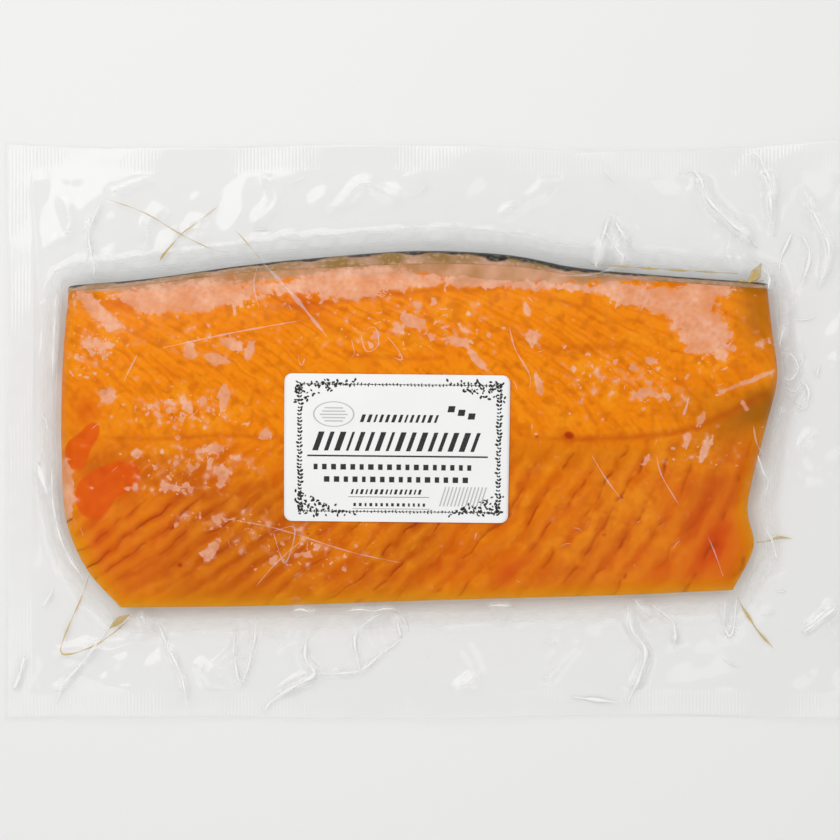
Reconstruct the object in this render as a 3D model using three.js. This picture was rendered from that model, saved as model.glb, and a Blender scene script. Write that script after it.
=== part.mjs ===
// A vacuum pack of smoked salmon: one skin-on side, flesh up, lying in a clear pouch that has been
// drawn down round it, with a paper label stuck on top.
//
// Millimetres. +X runs along the pack, +Y from the belly edge to the back edge, +Z up. The origin is the
// centre of the pouch's outline, on the surface that the pack lies on.
//
// Four closed solids, from the bottom up:
//   pouch   the sealed bag: the web under the fish, the wavy border, its four heat seals, and the rim
//           where the top film comes down the flanks. Where that film clings to the flesh it has no
//           thickness worth a solid, so the fish's own top shows there.
//   skin    the fish's skin, under the flesh and turned up over the back edge.
//   fillet  the flesh, thick along the back and thin at the belly, with a groove between its flakes.
//   label   the paper label, which bends with the flesh below it.
import * as THREE from 'three';

// Pouch
const BAG_LENGTH = 300;
const BAG_WIDTH = 200;
const WEB = 0.6; // two films, welded
const SEAL_WIDTH = 9;
const SEAL_STEP = 0.25;
const BORDER_LIFT = 3.2; // how high the border's waves stand
const CORNER_CURL = 10; // how high the back right corner curls
const EDGE_DRAW = 3; // how far the vacuum draws the outline in
const RIM_CLEARANCE = 1.1;
const NOTCH_BRIDGE = 2.6; // how much further out the film stands where it bridges the notch
const RIM_SHARE = 0.72; // of the flank's height

// Fish
const GAP = 0.3; // between pieces that touch
const SKIN = 0.8;
const THICK_BACK = 20;
const THICK_BELLY = 10.5;
const BACK_EDGE_DROP = 4.5;
const RIDGE_AT = 0.7; // of the way from belly to back
const TAIL_THIN = 0.16;
const SHOULDER = 7;
const WALL_SHARE = 0.5; // of the thickness, where the shoulder starts
const FLAKES = 37;
const FLAKE_GROOVE = 0.55;
const SKIN_LIP = 3.2; // width of skin seen from above, at the ends of the back edge
const SKIN_LIP_MIDDLE = 7.5; // and at its middle
const LATERAL_LINE = 0.47; // of the way from belly to back
const INSET = 1; // of the flesh from the outline
const FLANK_GAP = 0.7; // between flesh and skin on the back flank
const FLANK_STEPS = 4;
const FLANK_UNDER = 4; // how far the flank turns in under the fish
const WIDEST_SHARE = 0.4; // of the back edge's height, where the flank is widest
const LIP_END = 0.13; // share of the flank that the skin leaves bare
const FLOOR_ROWS = [0.9, 0.7, 0.5, 0.32, 0.15];
const NOTCH_AT = 0.3; // of the way up the right end, where its outline is hollow
const NOTCH_WIDTH = 0.17;

// Label
const LABEL_LENGTH = 76;
const LABEL_WIDTH = 50;
const LABEL_THICKNESS = 0.4;
const LABEL_CORNER = 2.6;
const LABEL_AT = [-13.8, -5.8];
const LABEL_TURN = THREE.MathUtils.degToRad(-0.6);

// The fish's outline as its four sides, each a smooth curve through the points that its shape needs.
const BELLY_SIDE = [[-109.5, -61.5], [-60, -61], [0, -59], [60, -57.4], [102.5, -55.6]];
const BACK_SIDE = [[-126.5, 50], [-100, 52.3], [-66, 57], [-36, 60], [-6, 62], [24, 60.6], [48, 56.2], [74, 53.8], [113.8, 51]];
const LEFT_SIDE = [[-109.5, -61.5], [-121, -48], [-128, -30], [-129, -5], [-128.4, 22], [-126.5, 50]];
const RIGHT_SIDE = [[102.5, -55.6], [109.6, -40], [107.4, -25], [112.6, 0], [116.8, 19], [115, 36], [113.8, 51]];

const { clamp, lerp, smoothstep } = THREE.MathUtils;

function curve(points) {
  return new THREE.CatmullRomCurve3(points.map(([x, y]) => new THREE.Vector3(x, y, 0)), false, 'catmullrom', 0.5);
}
const bellyCurve = curve(BELLY_SIDE);
const backCurve = curve(BACK_SIDE);
const leftCurve = curve(LEFT_SIDE);
const rightCurve = curve(RIGHT_SIDE);

// The point of the outline's patch at s along the fish and t from belly to back: the four sides blended.
function plan(s, t) {
  const [belly, back] = [bellyCurve.getPointAt(s), backCurve.getPointAt(s)];
  const [left, right] = [leftCurve.getPointAt(t), rightCurve.getPointAt(t)];
  const corner = (key) =>
    (1 - s) * (1 - t) * bellyCurve.getPoint(0)[key] + s * (1 - t) * bellyCurve.getPoint(1)[key] +
    (1 - s) * t * backCurve.getPoint(0)[key] + s * t * backCurve.getPoint(1)[key];
  const at = (key) => (1 - t) * belly[key] + t * back[key] + (1 - s) * left[key] + s * right[key] - corner(key);
  return [at('x'), at('y')];
}

// Points round the outline, anticlockwise from the belly's left end, with the side and share of each.
function around(alongCount, acrossCount) {
  const points = [];
  for (let i = 0; i < alongCount; i++) points.push({ side: 'belly', share: i / alongCount });
  for (let i = 0; i < acrossCount; i++) points.push({ side: 'right', share: i / acrossCount });
  for (let i = 0; i < alongCount; i++) points.push({ side: 'back', share: 1 - i / alongCount });
  for (let i = 0; i < acrossCount; i++) points.push({ side: 'left', share: 1 - i / acrossCount });
  return points;
}
const SIDES = { belly: bellyCurve, right: rightCurve, back: backCurve, left: leftCurve };
const outlinePoint = ({ side, share }) => SIDES[side].getPointAt(share);
const OUTLINE = around(80, 40).map(outlinePoint);

// How far a point inside the outline is from it.
function edgeDistance(x, y) {
  const point = new THREE.Vector3(x, y, 0);
  const nearest = new THREE.Vector3();
  const side = new THREE.Line3();
  return OUTLINE.reduce((least, start, i) => {
    side.set(start, OUTLINE[(i + 1) % OUTLINE.length]).closestPointToPoint(point, true, nearest);
    return Math.min(least, nearest.distanceTo(point));
  }, Infinity);
}

// The flesh's thickness away from its edges: it climbs from the belly to a ridge near the back, falls a
// little beyond it, and thins towards the tail.
function thickness(x, y) {
  const t = clamp((y + 60) / 120, 0, 1);
  const climb = Math.sin((Math.PI / 2) * Math.min(1, t / RIDGE_AT)) ** 1.3;
  const fall = Math.max(0, (t - RIDGE_AT) / (1 - RIDGE_AT)) ** 2.2;
  const across = lerp(THICK_BELLY, THICK_BACK, climb) - BACK_EDGE_DROP * fall;
  const uneven = 0.35 * Math.sin(x / 17 + 1) * Math.sin(y / 13);
  return across * (1 - TAIL_THIN * smoothstep(x, 40, 125)) + uneven;
}

// The flesh's top: its thickness, rounded off along the outline.
function fleshTop(x, y) {
  const inward = clamp(edgeDistance(x, y) / SHOULDER, 0, 1);
  const round = Math.sqrt(1 - (1 - inward) ** 2);
  return thickness(x, y) * lerp(WALL_SHARE, 1, round);
}

// Joins closed loops of equal length into one solid, with a cap on the first and last loop. flat turns a
// cap's point into the two coordinates that the cap is triangulated in.
function loft(loops, flat) {
  const count = loops[0].length;
  const positions = loops.flat(2);
  const indices = [];
  for (let i = 0; i + 1 < loops.length; i++) {
    for (let j = 0; j < count; j++) {
      const [a, b] = [i * count + j, i * count + ((j + 1) % count)];
      indices.push(a, b, b + count, a, b + count, a + count);
    }
  }
  for (const [loop, first, isFirst] of [[loops[0], 0, true], [loops.at(-1), (loops.length - 1) * count, false]]) {
    const contour = loop.map((p) => new THREE.Vector2(...flat(p)));
    const turned = THREE.ShapeUtils.isClockWise(contour) !== isFirst;
    for (const [a, b, c] of THREE.ShapeUtils.triangulateShape(contour, [])) {
      indices.push(first + a, first + (turned ? c : b), first + (turned ? b : c));
    }
  }
  return facingOut(positions, indices);
}

function signedVolume(positions, indices) {
  const corner = (i) => new THREE.Vector3().fromArray(positions, indices[i] * 3);
  let sum = 0;
  for (let i = 0; i < indices.length; i += 3) sum += corner(i).dot(corner(i + 1).cross(corner(i + 2)));
  return sum;
}

function facingOut(positions, indices) {
  if (signedVolume(positions, indices) < 0) indices.reverse();
  const geometry = new THREE.BufferGeometry();
  geometry.setAttribute('position', new THREE.Float32BufferAttribute(positions, 3));
  geometry.setIndex(indices);
  geometry.computeVertexNormals();
  return geometry;
}

// Skin seen from above along the back edge: widest at the middle of the fish.
const lipWidth = (s) => lerp(SKIN_LIP, SKIN_LIP_MIDDLE, Math.sin(Math.PI * clamp(s, 0, 1)) ** 4);

// The back flank at s, as seen in section: a round from the flesh's top edge out to the widest point and
// another from there in under the fish, both moved out by offset. from and to are shares of the whole.
function backFlank(s, offset, floor, [from, to] = [0, 1]) {
  const [x, y] = plan(s, 1);
  const lip = lipWidth(s);
  const top = fleshTop(x, y - lip);
  const widest = { y: y - SKIN - FLANK_GAP, z: top * WIDEST_SHARE };
  const turns = Array.from({ length: FLANK_STEPS + 1 }, (_, i) => Math.PI * lerp(from, to, i / FLANK_STEPS));
  return turns.map((turn) => {
    const upper = turn < Math.PI / 2;
    const reach = (upper ? widest.y - (y - lip) : FLANK_UNDER) + offset;
    const height = upper ? top - widest.z + offset : widest.z - floor;
    return [x, widest.y + offset - reach * (1 - Math.sin(turn)), widest.z + height * Math.cos(turn)];
  });
}

// A section across the flesh is a closed loop: up the belly edge, over the top, down the back flank and
// back along the underside. rows are the shares from belly to back where the top has a point.
function fleshSection(s, rows) {
  const floor = WEB + GAP + SKIN + GAP;
  const middle = 4 * s * (1 - s);
  // Sections lean back from the lateral line, as the flakes do, and stand straight at both ends.
  const lean = (t) => {
    const below = 1.05 * Math.max(0, LATERAL_LINE - t);
    const above = Math.max(0, t - LATERAL_LINE);
    return s - 0.3 * middle * (below + 0.62 * above + 0.5 * above ** 2);
  };
  const groove = Math.round(s * FLAKES * 3) % 3 === 0 ? FLAKE_GROOVE : 0;
  const end = s === 0 ? INSET : s === 1 ? -INSET : 0;
  const lip = lipWidth(lean(1));
  const [x0, y0] = plan(lean(0), 0);
  const top = rows.map((t) => {
    const [x, y] = plan(lean(t), t);
    const inside = lerp(y + INSET, y - lip, t);
    const fade = smoothstep(Math.min(s, 1 - s), 0, 0.03) * smoothstep(Math.min(t, 1 - t), 0.02, 0.12);
    return [x, inside, fleshTop(x, inside) - groove * fade];
  });
  const under = FLOOR_ROWS.map((t) => [...plan(lean(t), t), floor]);
  const flank = backFlank(lean(1), 0, floor).slice(1);
  return [[x0, y0 + INSET + 1.2, floor], ...top, ...flank, ...under].map(([x, y, z]) => [x + end, y, z]);
}

// A section across the skin: one web thick, under the flesh and up over the back flank as far as the lip.
function skinSection(s) {
  const floor = WEB + GAP;
  const under = FLOOR_ROWS.concat(0.02).map((t) => plan(s, t));
  const outer = backFlank(s, FLANK_GAP + SKIN, floor, [LIP_END, 1]);
  const inner = backFlank(s, FLANK_GAP, floor + SKIN, [LIP_END, 1]);
  const below = under.map(([x, y]) => [x, y, floor]);
  const above = under.map(([x, y]) => [x, y, floor + SKIN]);
  return [...outer, ...below, ...above.reverse(), ...inner.reverse()];
}

// The pouch's outline, a rectangle whose sides the vacuum has drawn in between the corners.
function bagEdge({ side, share }, inset) {
  const [halfLength, halfWidth] = [BAG_LENGTH / 2 - inset, BAG_WIDTH / 2 - inset];
  const drawn = EDGE_DRAW * Math.sin(Math.PI * share) ** 0.8 * (0.55 + 0.45 * Math.sin(9 * share + 1));
  const along = lerp(-1, 1, share);
  if (side === 'belly') return [along * halfLength, -halfWidth + 0.5 * drawn];
  if (side === 'back') return [along * halfLength, halfWidth - drawn];
  if (side === 'right') return [halfLength - 0.5 * drawn, along * halfWidth];
  return [-halfLength + 0.5 * drawn, along * halfWidth];
}

// How far the border stands off the table: low waves that grow outwards, and one curled corner.
function borderLift(x, y, outward) {
  const waves = 0.5 + 0.3 * Math.sin(x / 21 + 0.7) + 0.2 * Math.sin(x / 9 - y / 15) + 0.25 * Math.sin(y / 17 + x / 40 + 2);
  const curl = smoothstep(x, 70, 150) * smoothstep(y, 40, 100);
  return smoothstep(outward, 0.05, 1) * (BORDER_LIFT * Math.max(0, waves) + CORNER_CURL * curl * curl);
}

// How far the pouch's pocket stands off the outline.
function clearance({ side, share }) {
  const notch = side === 'right' ? Math.exp(-(((share - NOTCH_AT) / NOTCH_WIDTH) ** 2)) : 0;
  return RIM_CLEARANCE + NOTCH_BRIDGE * notch;
}

// The outline moved outwards by a distance of its own at each point.
function offsetOutline(points, distances) {
  return points.map((point, i) => {
    const before = points[(i + points.length - 1) % points.length];
    const after = points[(i + 1) % points.length];
    const along = new THREE.Vector3().subVectors(after, before).normalize();
    return [point.x + along.y * distances[i], point.y - along.x * distances[i]];
  });
}

function pouchGeometry() {
  const stations = around(44, 22);
  const outline = stations.map(outlinePoint);
  const clear = stations.map(clearance);
  const beyond = (distance) => offsetOutline(outline, clear.map((d) => d + distance));
  const pocket = beyond(0);
  const seal = stations.map((station) => bagEdge(station, SEAL_WIDTH));
  const sealStep = stations.map((station) => bagEdge(station, SEAL_WIDTH - 1));
  const edge = stations.map((station) => bagEdge(station, 0));
  const flank = outline.map((p) => thickness(p.x, p.y) * RIM_SHARE);
  const slope = beyond(2);
  const foot = beyond(5);
  const border = beyond(10);
  const middle = border.map(([x, y], i) => [lerp(x, seal[i][0], 0.5), lerp(y, seal[i][1], 0.5)]);
  const ring = (points, outward, height) => points.map(([x, y], i) => [x, y, borderLift(x, y, outward) + height(i)]);
  const flat = (height) => () => height;
  const loops = [
    ring(pocket, 0, flat(WEB)),
    ring(pocket, 0, (i) => flank[i]),
    ring(slope, 0, (i) => flank[i] * 0.5 + WEB * 0.5),
    ring(foot, 0, (i) => flank[i] * 0.14 + WEB),
    ring(border, 0.15, flat(WEB)),
    ring(middle, 0.5, flat(WEB)),
    ring(seal, 0.8, flat(WEB)),
    ring(sealStep, 0.82, flat(WEB + SEAL_STEP)),
    ring(edge, 1, flat(WEB + SEAL_STEP)),
    ring(edge, 1, flat(0)),
    ring(seal, 0.8, flat(0)),
    ring(middle, 0.5, flat(0)),
    ring(border, 0.15, flat(0)),
    ring(foot, 0, flat(0)),
  ];
  return loft(loops, ([x, y]) => [x, y]);
}

// The label: rows across it whose ends follow the rounded corners, bent to the flesh below.
function labelGeometry() {
  const [half, high] = [LABEL_LENGTH / 2, LABEL_WIDTH / 2];
  const columns = 12;
  const cornerRows = [0, 0.12, 0.4, 1].map((share) => share * LABEL_CORNER);
  const rows = [...cornerRows.map((d) => -high + d), -high * 0.45, 0, high * 0.45, ...cornerRows.map((d) => high - d).reverse()];
  const place = (u, v, up) => {
    const x = LABEL_AT[0] + u * Math.cos(LABEL_TURN) - v * Math.sin(LABEL_TURN);
    const y = LABEL_AT[1] + u * Math.sin(LABEL_TURN) + v * Math.cos(LABEL_TURN);
    return [x, y, thickness(x, y) + 0.5 + up];
  };
  const reach = (v) => {
    const into = Math.max(0, Math.abs(v) - (high - LABEL_CORNER));
    return half - LABEL_CORNER + Math.sqrt(Math.max(0, LABEL_CORNER ** 2 - into ** 2));
  };
  const across = Array.from({ length: columns + 1 }, (_, i) => lerp(-1, 1, i / columns));
  return loft(
    rows.map((v) => [
      ...across.map((u) => place(u * reach(v), v, LABEL_THICKNESS)),
      ...across.toReversed().map((u) => place(u * reach(v), v, 0)),
    ]),
    ([x, , z]) => [x, z],
  );
}

function filletGeometry() {
  const rows = [0, 0.012, 0.03, 0.06, 0.12, 0.19, 0.26, 0.33, 0.4, 0.47, 0.54, 0.62, 0.7, 0.78, 0.85, 0.91, 0.95, 0.98, 1];
  const stations = Array.from({ length: 3 * FLAKES + 1 }, (_, i) => i / (3 * FLAKES));
  return loft(stations.map((s) => fleshSection(s, rows)), ([, y, z]) => [y, z]);
}

function skinGeometry() {
  const count = 42;
  // Closer together at the ends, where the flesh rounds off.
  const eased = (share) => share - (0.8 * Math.sin(2 * Math.PI * share)) / (2 * Math.PI);
  const stations = Array.from({ length: count + 1 }, (_, i) => eased(i / count));
  return loft(stations.map(skinSection), ([, y, z]) => [y, z]);
}

function piece(name, geometry, color, roughness, extra = {}) {
  const material = new THREE.MeshStandardMaterial({ color, roughness, metalness: 0, ...extra });
  const mesh = new THREE.Mesh(geometry, material);
  mesh.name = name;
  return mesh;
}

const pack = new THREE.Group();
pack.add(
  piece('pouch', pouchGeometry(), '#eef0ee', 0.12, { transparent: true, opacity: 0.35 }),
  piece('skin', skinGeometry(), '#3a342e', 0.35),
  piece('fillet', filletGeometry(), '#e87a12', 0.3),
  piece('label', labelGeometry(), '#f7f7f5', 0.6),
);

export default pack;
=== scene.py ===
"""Dresses a vacuum pack of smoked salmon: one skin-on side of fish, flesh up, in a creased clear pouch
with a paper label on top.

Lengths in the shape functions are millimetres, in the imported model's frame: +X along the pack, +Y from
the belly edge to the back edge, +Z up, with the origin under the middle of the pouch. A mesh is turned
to metres when it is made.
"""
import math
from functools import partial

import bpy
import numpy as np
from bpy.props import FloatProperty, FloatVectorProperty, PointerProperty
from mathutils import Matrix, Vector
from mathutils.bvhtree import BVHTree


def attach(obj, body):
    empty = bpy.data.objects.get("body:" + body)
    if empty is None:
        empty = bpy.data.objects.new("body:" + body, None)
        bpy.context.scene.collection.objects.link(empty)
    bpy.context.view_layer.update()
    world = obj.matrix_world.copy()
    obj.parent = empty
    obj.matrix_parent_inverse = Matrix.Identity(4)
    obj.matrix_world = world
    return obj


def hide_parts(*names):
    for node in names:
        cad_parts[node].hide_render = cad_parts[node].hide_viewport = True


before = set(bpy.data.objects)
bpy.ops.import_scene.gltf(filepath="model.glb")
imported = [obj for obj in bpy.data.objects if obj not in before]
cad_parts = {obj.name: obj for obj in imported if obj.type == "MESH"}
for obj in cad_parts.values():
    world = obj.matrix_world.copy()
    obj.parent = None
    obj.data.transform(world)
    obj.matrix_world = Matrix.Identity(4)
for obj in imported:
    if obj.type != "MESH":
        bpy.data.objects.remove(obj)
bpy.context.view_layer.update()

bl_info = {
    "name": "Smoked salmon pack",
    "version": (1, 0, 0),
    "blender": (4, 5, 0),
    "location": "3D View > Sidebar > Salmon pack",
    "description": "Makes the fish, film, label and oil of a vacuum pack of smoked salmon",
    "category": "Add Mesh",
}

MM = 0.001

# The pouch
BAG_LENGTH = 300
BAG_WIDTH = 200
WEB = 0.6
SEAL_WIDTH = 9
SEAL_STEP = 0.05  # how much thinner the web is there
BASE_LIFT = 0.02  # the lower film's underside over the table
BORDER_LIFT = 3.2
CORNER_CURL = 10
EDGE_DRAW = 3  # how far the vacuum draws a side in
RIM_CLEARANCE = 1.1  # from the fish's outline out to the pocket's rim
NOTCH_BRIDGE = 2.6  # more of that where the film bridges the notch in the fish's right end
NOTCH_AT = 0.3
NOTCH_WIDTH = 0.17
RIM_SHARE = 0.72  # the rim's height, as a share of the fish's thickness
FILM_HOLD = 2.5  # from the fish's outline in to where the film leaves the flesh
HANDLE_OUT = -0.3  # the handle of the film's curve from there to the rim: its distance out
HANDLE_SHARE = 0.87  # and its height, as a share of the fish's thickness
TENT_REACH = 10  # from the pocket out to where the top film meets the lower one
TENT_SHARE = 0.15  # share of the way to the edge that the border's lift has there
TENT_FALL = 2.6  # the power that the film falls by between them
SEAL_SHARE = 0.8  # share of the way to the edge where the seal starts
FLOOR_REACH = 5  # from the fish's outline out to the lower film's flat floor
FOLD_WIDTH = 1.7  # half the width that a sharp crease bends the film over
FOLD_HEIGHT = 0.3
FOLD_HIGHLIGHT, RIDGE_HIGHLIGHT, TENT_PAINTED_LIGHT = 0.3, 0.24, 0.3  # painted highlight along folds and ridges, and painted light on the film drawn down beside the fish
FISH_CREASE_SHARE = 0.16  # how strong a crease's painted highlight is on the fish, as a share of one on the border

# The fish
GAP = 0.3
SKIN = 0.8
FISH_HALF = 60  # half its width
THICK_BACK = 20
THICK_BELLY = 10.5
BACK_EDGE_DROP = 4.5
RIDGE_AT = 0.7  # share of the way from the belly edge to the back edge
TAIL_THIN = 0.16
SHOULDER = 7
WALL_SHARE = 0.5  # height of the flank's top, as a share of the thickness
SKIN_LIP = 3.2
SKIN_LIP_MIDDLE = 7.5
INSET = 1
FLANK_GAP = 0.7  # between the flesh and the inside of the skin
FLANK_UNDER = 4  # how far the flank turns in under the fish
BARE_FLANK = 0.7  # from the outline in to the flesh where it has no skin
BARE_UNDER = 2.2  # and in to its foot there
WIDEST_SHARE = 0.4  # height of the flank's widest place, as a share of its top's
FLESH_FOLD_DEPTH = 0.35
LATERAL_DROP = 2.7  # how far the lateral line is below the middle
LATERAL_RISE = 0.012
LIP_END = 0.13  # where the skin's cut lip is on its turn, as a share of a half turn
SKIN_FLOOR = WEB + GAP
FLESH_FLOOR = SKIN_FLOOR + SKIN + GAP

# The label
LABEL_LENGTH = 76
LABEL_WIDTH = 50
LABEL_CORNER = 2.6
LABEL_AT = (-13.8, -5.8)
LABEL_TURN = math.radians(-0.6)
LABEL_LIFT = 0.45
INK_LIFT = 0.03

# The camera and the floor
CAMERA_OVER = (-5.92, 3.83)
CAMERA_HEIGHT = 600
CAMERA_LENS = 73.8
FLOOR_SIZE = 4000
FLOOR_DROP = 0.1

# The fish's outline: its four sides, each from the belly or the left end.
BELLY_POINTS = [(-109.5, -61.5), (-60, -61), (0, -59), (60, -57.4), (102.5, -55.6)]
BACK_POINTS = [(-126.5, 50), (-100, 52.3), (-66, 57), (-36, 60), (-6, 62), (24, 60.6), (48, 56.2),
               (74, 53.8), (113.8, 51)]
LEFT_POINTS = [(-109.5, -61.5), (-121, -48), (-128, -30), (-129, -5), (-128.4, 22), (-126.5, 50)]
RIGHT_POINTS = [(102.5, -55.6), (109.6, -40), (107.4, -25), (112.6, 0), (116.8, 19), (115, 36),
                (113.8, 51)]

# Zones on the flesh: ovals of (x, y, half length, half width, turn in degrees, strength).
ZONES = {
    # Where air lies between the flesh and the film, painted pale pink as a reflection. Below about 0.6 it
    # comes in flecks.
    "air_gap_sheen": [
        (-87, 45.4, 26, 4.8, 4, 1.5), (-115, 41.5, 10, 1.8, -42, 1.2), (-109, 42.6, 5, 1.6, -10, -1.1),
        (-28, 50.6, 20, 4.6, 3, 1.4), (20, 50, 40, 1.8, -3, 0.9), (68, 45.5, 13, 3.8, -10, 1.3),
        (89, 35.8, 12.5, 7.2, -47, 1.5), (93, 49, 8, 3.6, 0, 1.2), (105.8, 17.2, 11, 0.9, 22, 1.1),
        (110, 30, 5, 2, 35, 0.5),
        (-126, -20, 2.4, 10, 2, 1.5), (-116, 27, 9, 10, 20, 0.56), (-80, 31, 24, 5, 0, 0.38),
        (-86, 7, 22, 8, 0, 0.52), (-84, -12, 28, 7, 0, 0.42), (-78, -30, 18, 4, 0, 0.42),
        (76, 14, 12, 9, -10, 0.40), (52, 17, 16, 13, 0, 0.36), (-9, 35, 38, 11, 0, 0.38),
        (-47, -41, 28, 12, 0, 0.36), (92, -6, 14, 8, 0, 0.34), (-92, -19.4, 17, 2.0, 0, 0.45),
        # Single pale spots of the same painted reflection.
        (-83.5, 26.5, 1.8, 2.3, 0, 1.1), (-74, 24.0, 3.8, 1.8, -10, 1.1), (-69, 29, 2.6, 1.6, -20, 1.1),
        (-63.4, 27, 1.3, 3.6, -15, 1.1), (-110.8, 12.4, 2.4, 2.5, 20, 1.1), (-72.2, 12.8, 1.5, 2.7, 0, 1.1),
        (-58, -1.3, 2.5, 1.8, 0, 1.1), (-76, -5.8, 4.2, 1.5, 5, 1.1), (-102, -7.5, 1.6, 1.5, 0, 1.1),
        (-73, -14.7, 1.6, 3.2, 0, 1.1), (-77.4, -40.5, 2.0, 4.2, -35, 1.1), (-9, 37.5, 3.8, 1.5, -35, 1.1),
        (6.8, 30.3, 4.6, 1.2, -10, 1.0), (32, 32, 2.4, 2.0, 0, 1.1), (14, 23.4, 5, 1.2, -45, 1.1),
        (34, 16, 1.0, 3.6, 15, 1.1), (30, 41.5, 1.0, 2.8, 20, 1.1), (72, 24, 2.0, 1.2, 0, 1.1),
        (66, 21.5, 1.4, 1.1, 0, 1.1), (89.4, 4.6, 1.1, 2.6, -25, 1.2), (84.5, -3.4, 0.9, 2.6, -10, 1.1),
        (90.3, -7.3, 1.1, 3.6, -15, 1.1), (70.6, -9.6, 0.8, 2.8, -30, 1.1), (104, 8.9, 0.9, 2.3, 35, 1.1),
    ],
    "red": [
        (96, -38, 13, 17, 12, 1.1), (23.6, -47, 4, 8, -20, 0.7), (5, -42, 5, 8, -20, 0.5),
        (0, -52, 110, 8, 0, 0.35), (-80, -38, 34, 14, 10, 0.35), (104, -12, 8, 14, 0, 0.5),
        (-115, -37, 4, 12, 10, 0.8), (73, -48, 25, 9, 0, 0.4), (-118.6, 6.6, 5, 6, 0, 0.7),
        (-96, -36, 20, 12, 0, 0.3), (-106, 43, 6, 2, -10, 0.6), (-45, 44, 8, 4, -30, 0.5),
    ],
    # Darker brown-orange. The first two are painted shade below the crease at the right end.
    "shade": [
        (102, 3, 15, 7, 18, 1.0), (110.5, 9.5, 7, 5.5, 22, 1.5), (109, 41, 7, 13, 0, 1.1),
        (108, 50, 9, 3, 0, 1.3), (-72, -40, 30, 18, 10, 0.35),
        (40, -8, 60, 5, 0, 0.3), (-121, 47, 6, 3, -20, 0.7), (-40, 55, 5, 3, 0, 0.7),
        (88, 10, 12, 5, 10, 0.4),
    ],
    "band": [
        (24, 56, 38, 7, -3, 1.2), (-60, 53, 44, 3, 6, 0.85), (-112, 49.5, 20, 2, 2, 1.0),
        (84, 53, 36, 2.4, -3, 0.9), (-20, 57, 20, 3.4, 2, 0.9),
    ],
    "blood": [
        (44.4, -1.3, 1.7, 1.2, -20, 1.2), (62.5, -22.6, 0.9, 0.6, 40, 0.8),
        (-90.2, -32.8, 1.6, 0.9, 45, 0.7), (-87.9, -45.7, 0.9, 0.8, 0, 0.9), (-44, -35, 0.7, 0.6, 0, 0.7),
        (64.2, -49.7, 0.8, 1.4, -15, 0.6), (56.8, -35.3, 0.9, 0.7, 0, 0.6), (33.5, -1.8, 0.8, 0.7, 0, 0.7),
    ],
    # Oil pressed flat under the film. Its edge is where the field is nearly a half.
    "pool": [
        (-122.4, -7.4, 4.6, 5.8, -12, 1.0), (-117, -0.6, 3.4, 5, -30, 0.8),
        (-109, -16.1, 10.3, 6.5, 20, 1.0), (-117.4, -24.3, 5.6, 6.6, 20, 1.0),
    ],
}
# Folds in the flesh, sunk into its top and darkened with painted shade: (half width, strength, points).
FLESH_FOLDS = [
    (1.1, 0.8, [(-72.2, 39.9), (-35.8, 43.7), (1, 48.2), (12.3, 47.5), (25.4, 49.2)]),
    (1.3, 0.7, [(17.1, 40.9), (32.6, 28.9), (49.1, 28.2), (72.1, 28.9)]),
    (0.9, 0.6, [(-34, 26), (-10, 24.5), (4, 25)]),
    (1.0, 0.5, [(-60, 46), (-40, 38), (-28, 30)]),
    (0.8, 0.7, [(-116, -2), (-95, -2.6), (-74, -1.6), (-52, -2.4)]),
    (1.2, 1.0, [(24, -2), (52, -2.6), (83, 0), (104, 9), (117, 16)]),
    (0.8, 0.4, [(-100, 22), (-80, 16), (-62, 8)]),
    (1.0, 0.5, [(30, 46), (50, 42), (66, 34)]),
]

# Pleats where the film gathers against the fish: (side, share along it, half width, length, height,
# lean), with sides as in Stations.
PLEATS = [
    (0, 0.20, 3.4, 26, 1.5, 0.0), (0, 0.32, 5.0, 20, 1.1, -0.5), (0, 0.41, 4.0, 17, 1.3, 0.2),
    (0, 0.62, 2.6, 12, 0.8, 0.1), (0, 0.86, 4.2, 22, 1.5, 0.25), (0, 0.985, 2.2, 13, 1.3, 0.1),
    (0, 0.06, 4.5, 30, 1.2, -0.6), (2, 0.80, 4.0, 20, 1.4, 0.2), (2, 0.55, 7.0, 16, 0.7, 0.3),
    (2, 0.30, 5.0, 13, 0.7, -0.3), (2, 0.12, 6.0, 20, 0.8, -0.4), (2, 0.985, 4.5, 28, 2.0, 0.5),
    (1, 0.92, 4.0, 17, 1.2, 0.2), (1, 0.66, 4.0, 11, 1.4, 0.0), (1, 0.50, 4.0, 12, 1.4, -0.3),
    (1, 0.12, 4.0, 15, 1.2, 0.1), (1, 0.30, 3.0, 10, 1.0, 0.0), (3, 0.10, 3.5, 12, 0.9, 0.2),
    (3, 0.42, 6.0, 11, 0.8, 0.4), (3, 0.70, 6.0, 12, 0.7, -0.2), (3, 0.93, 3.0, 13, 1.0, 0.0),
]
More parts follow.
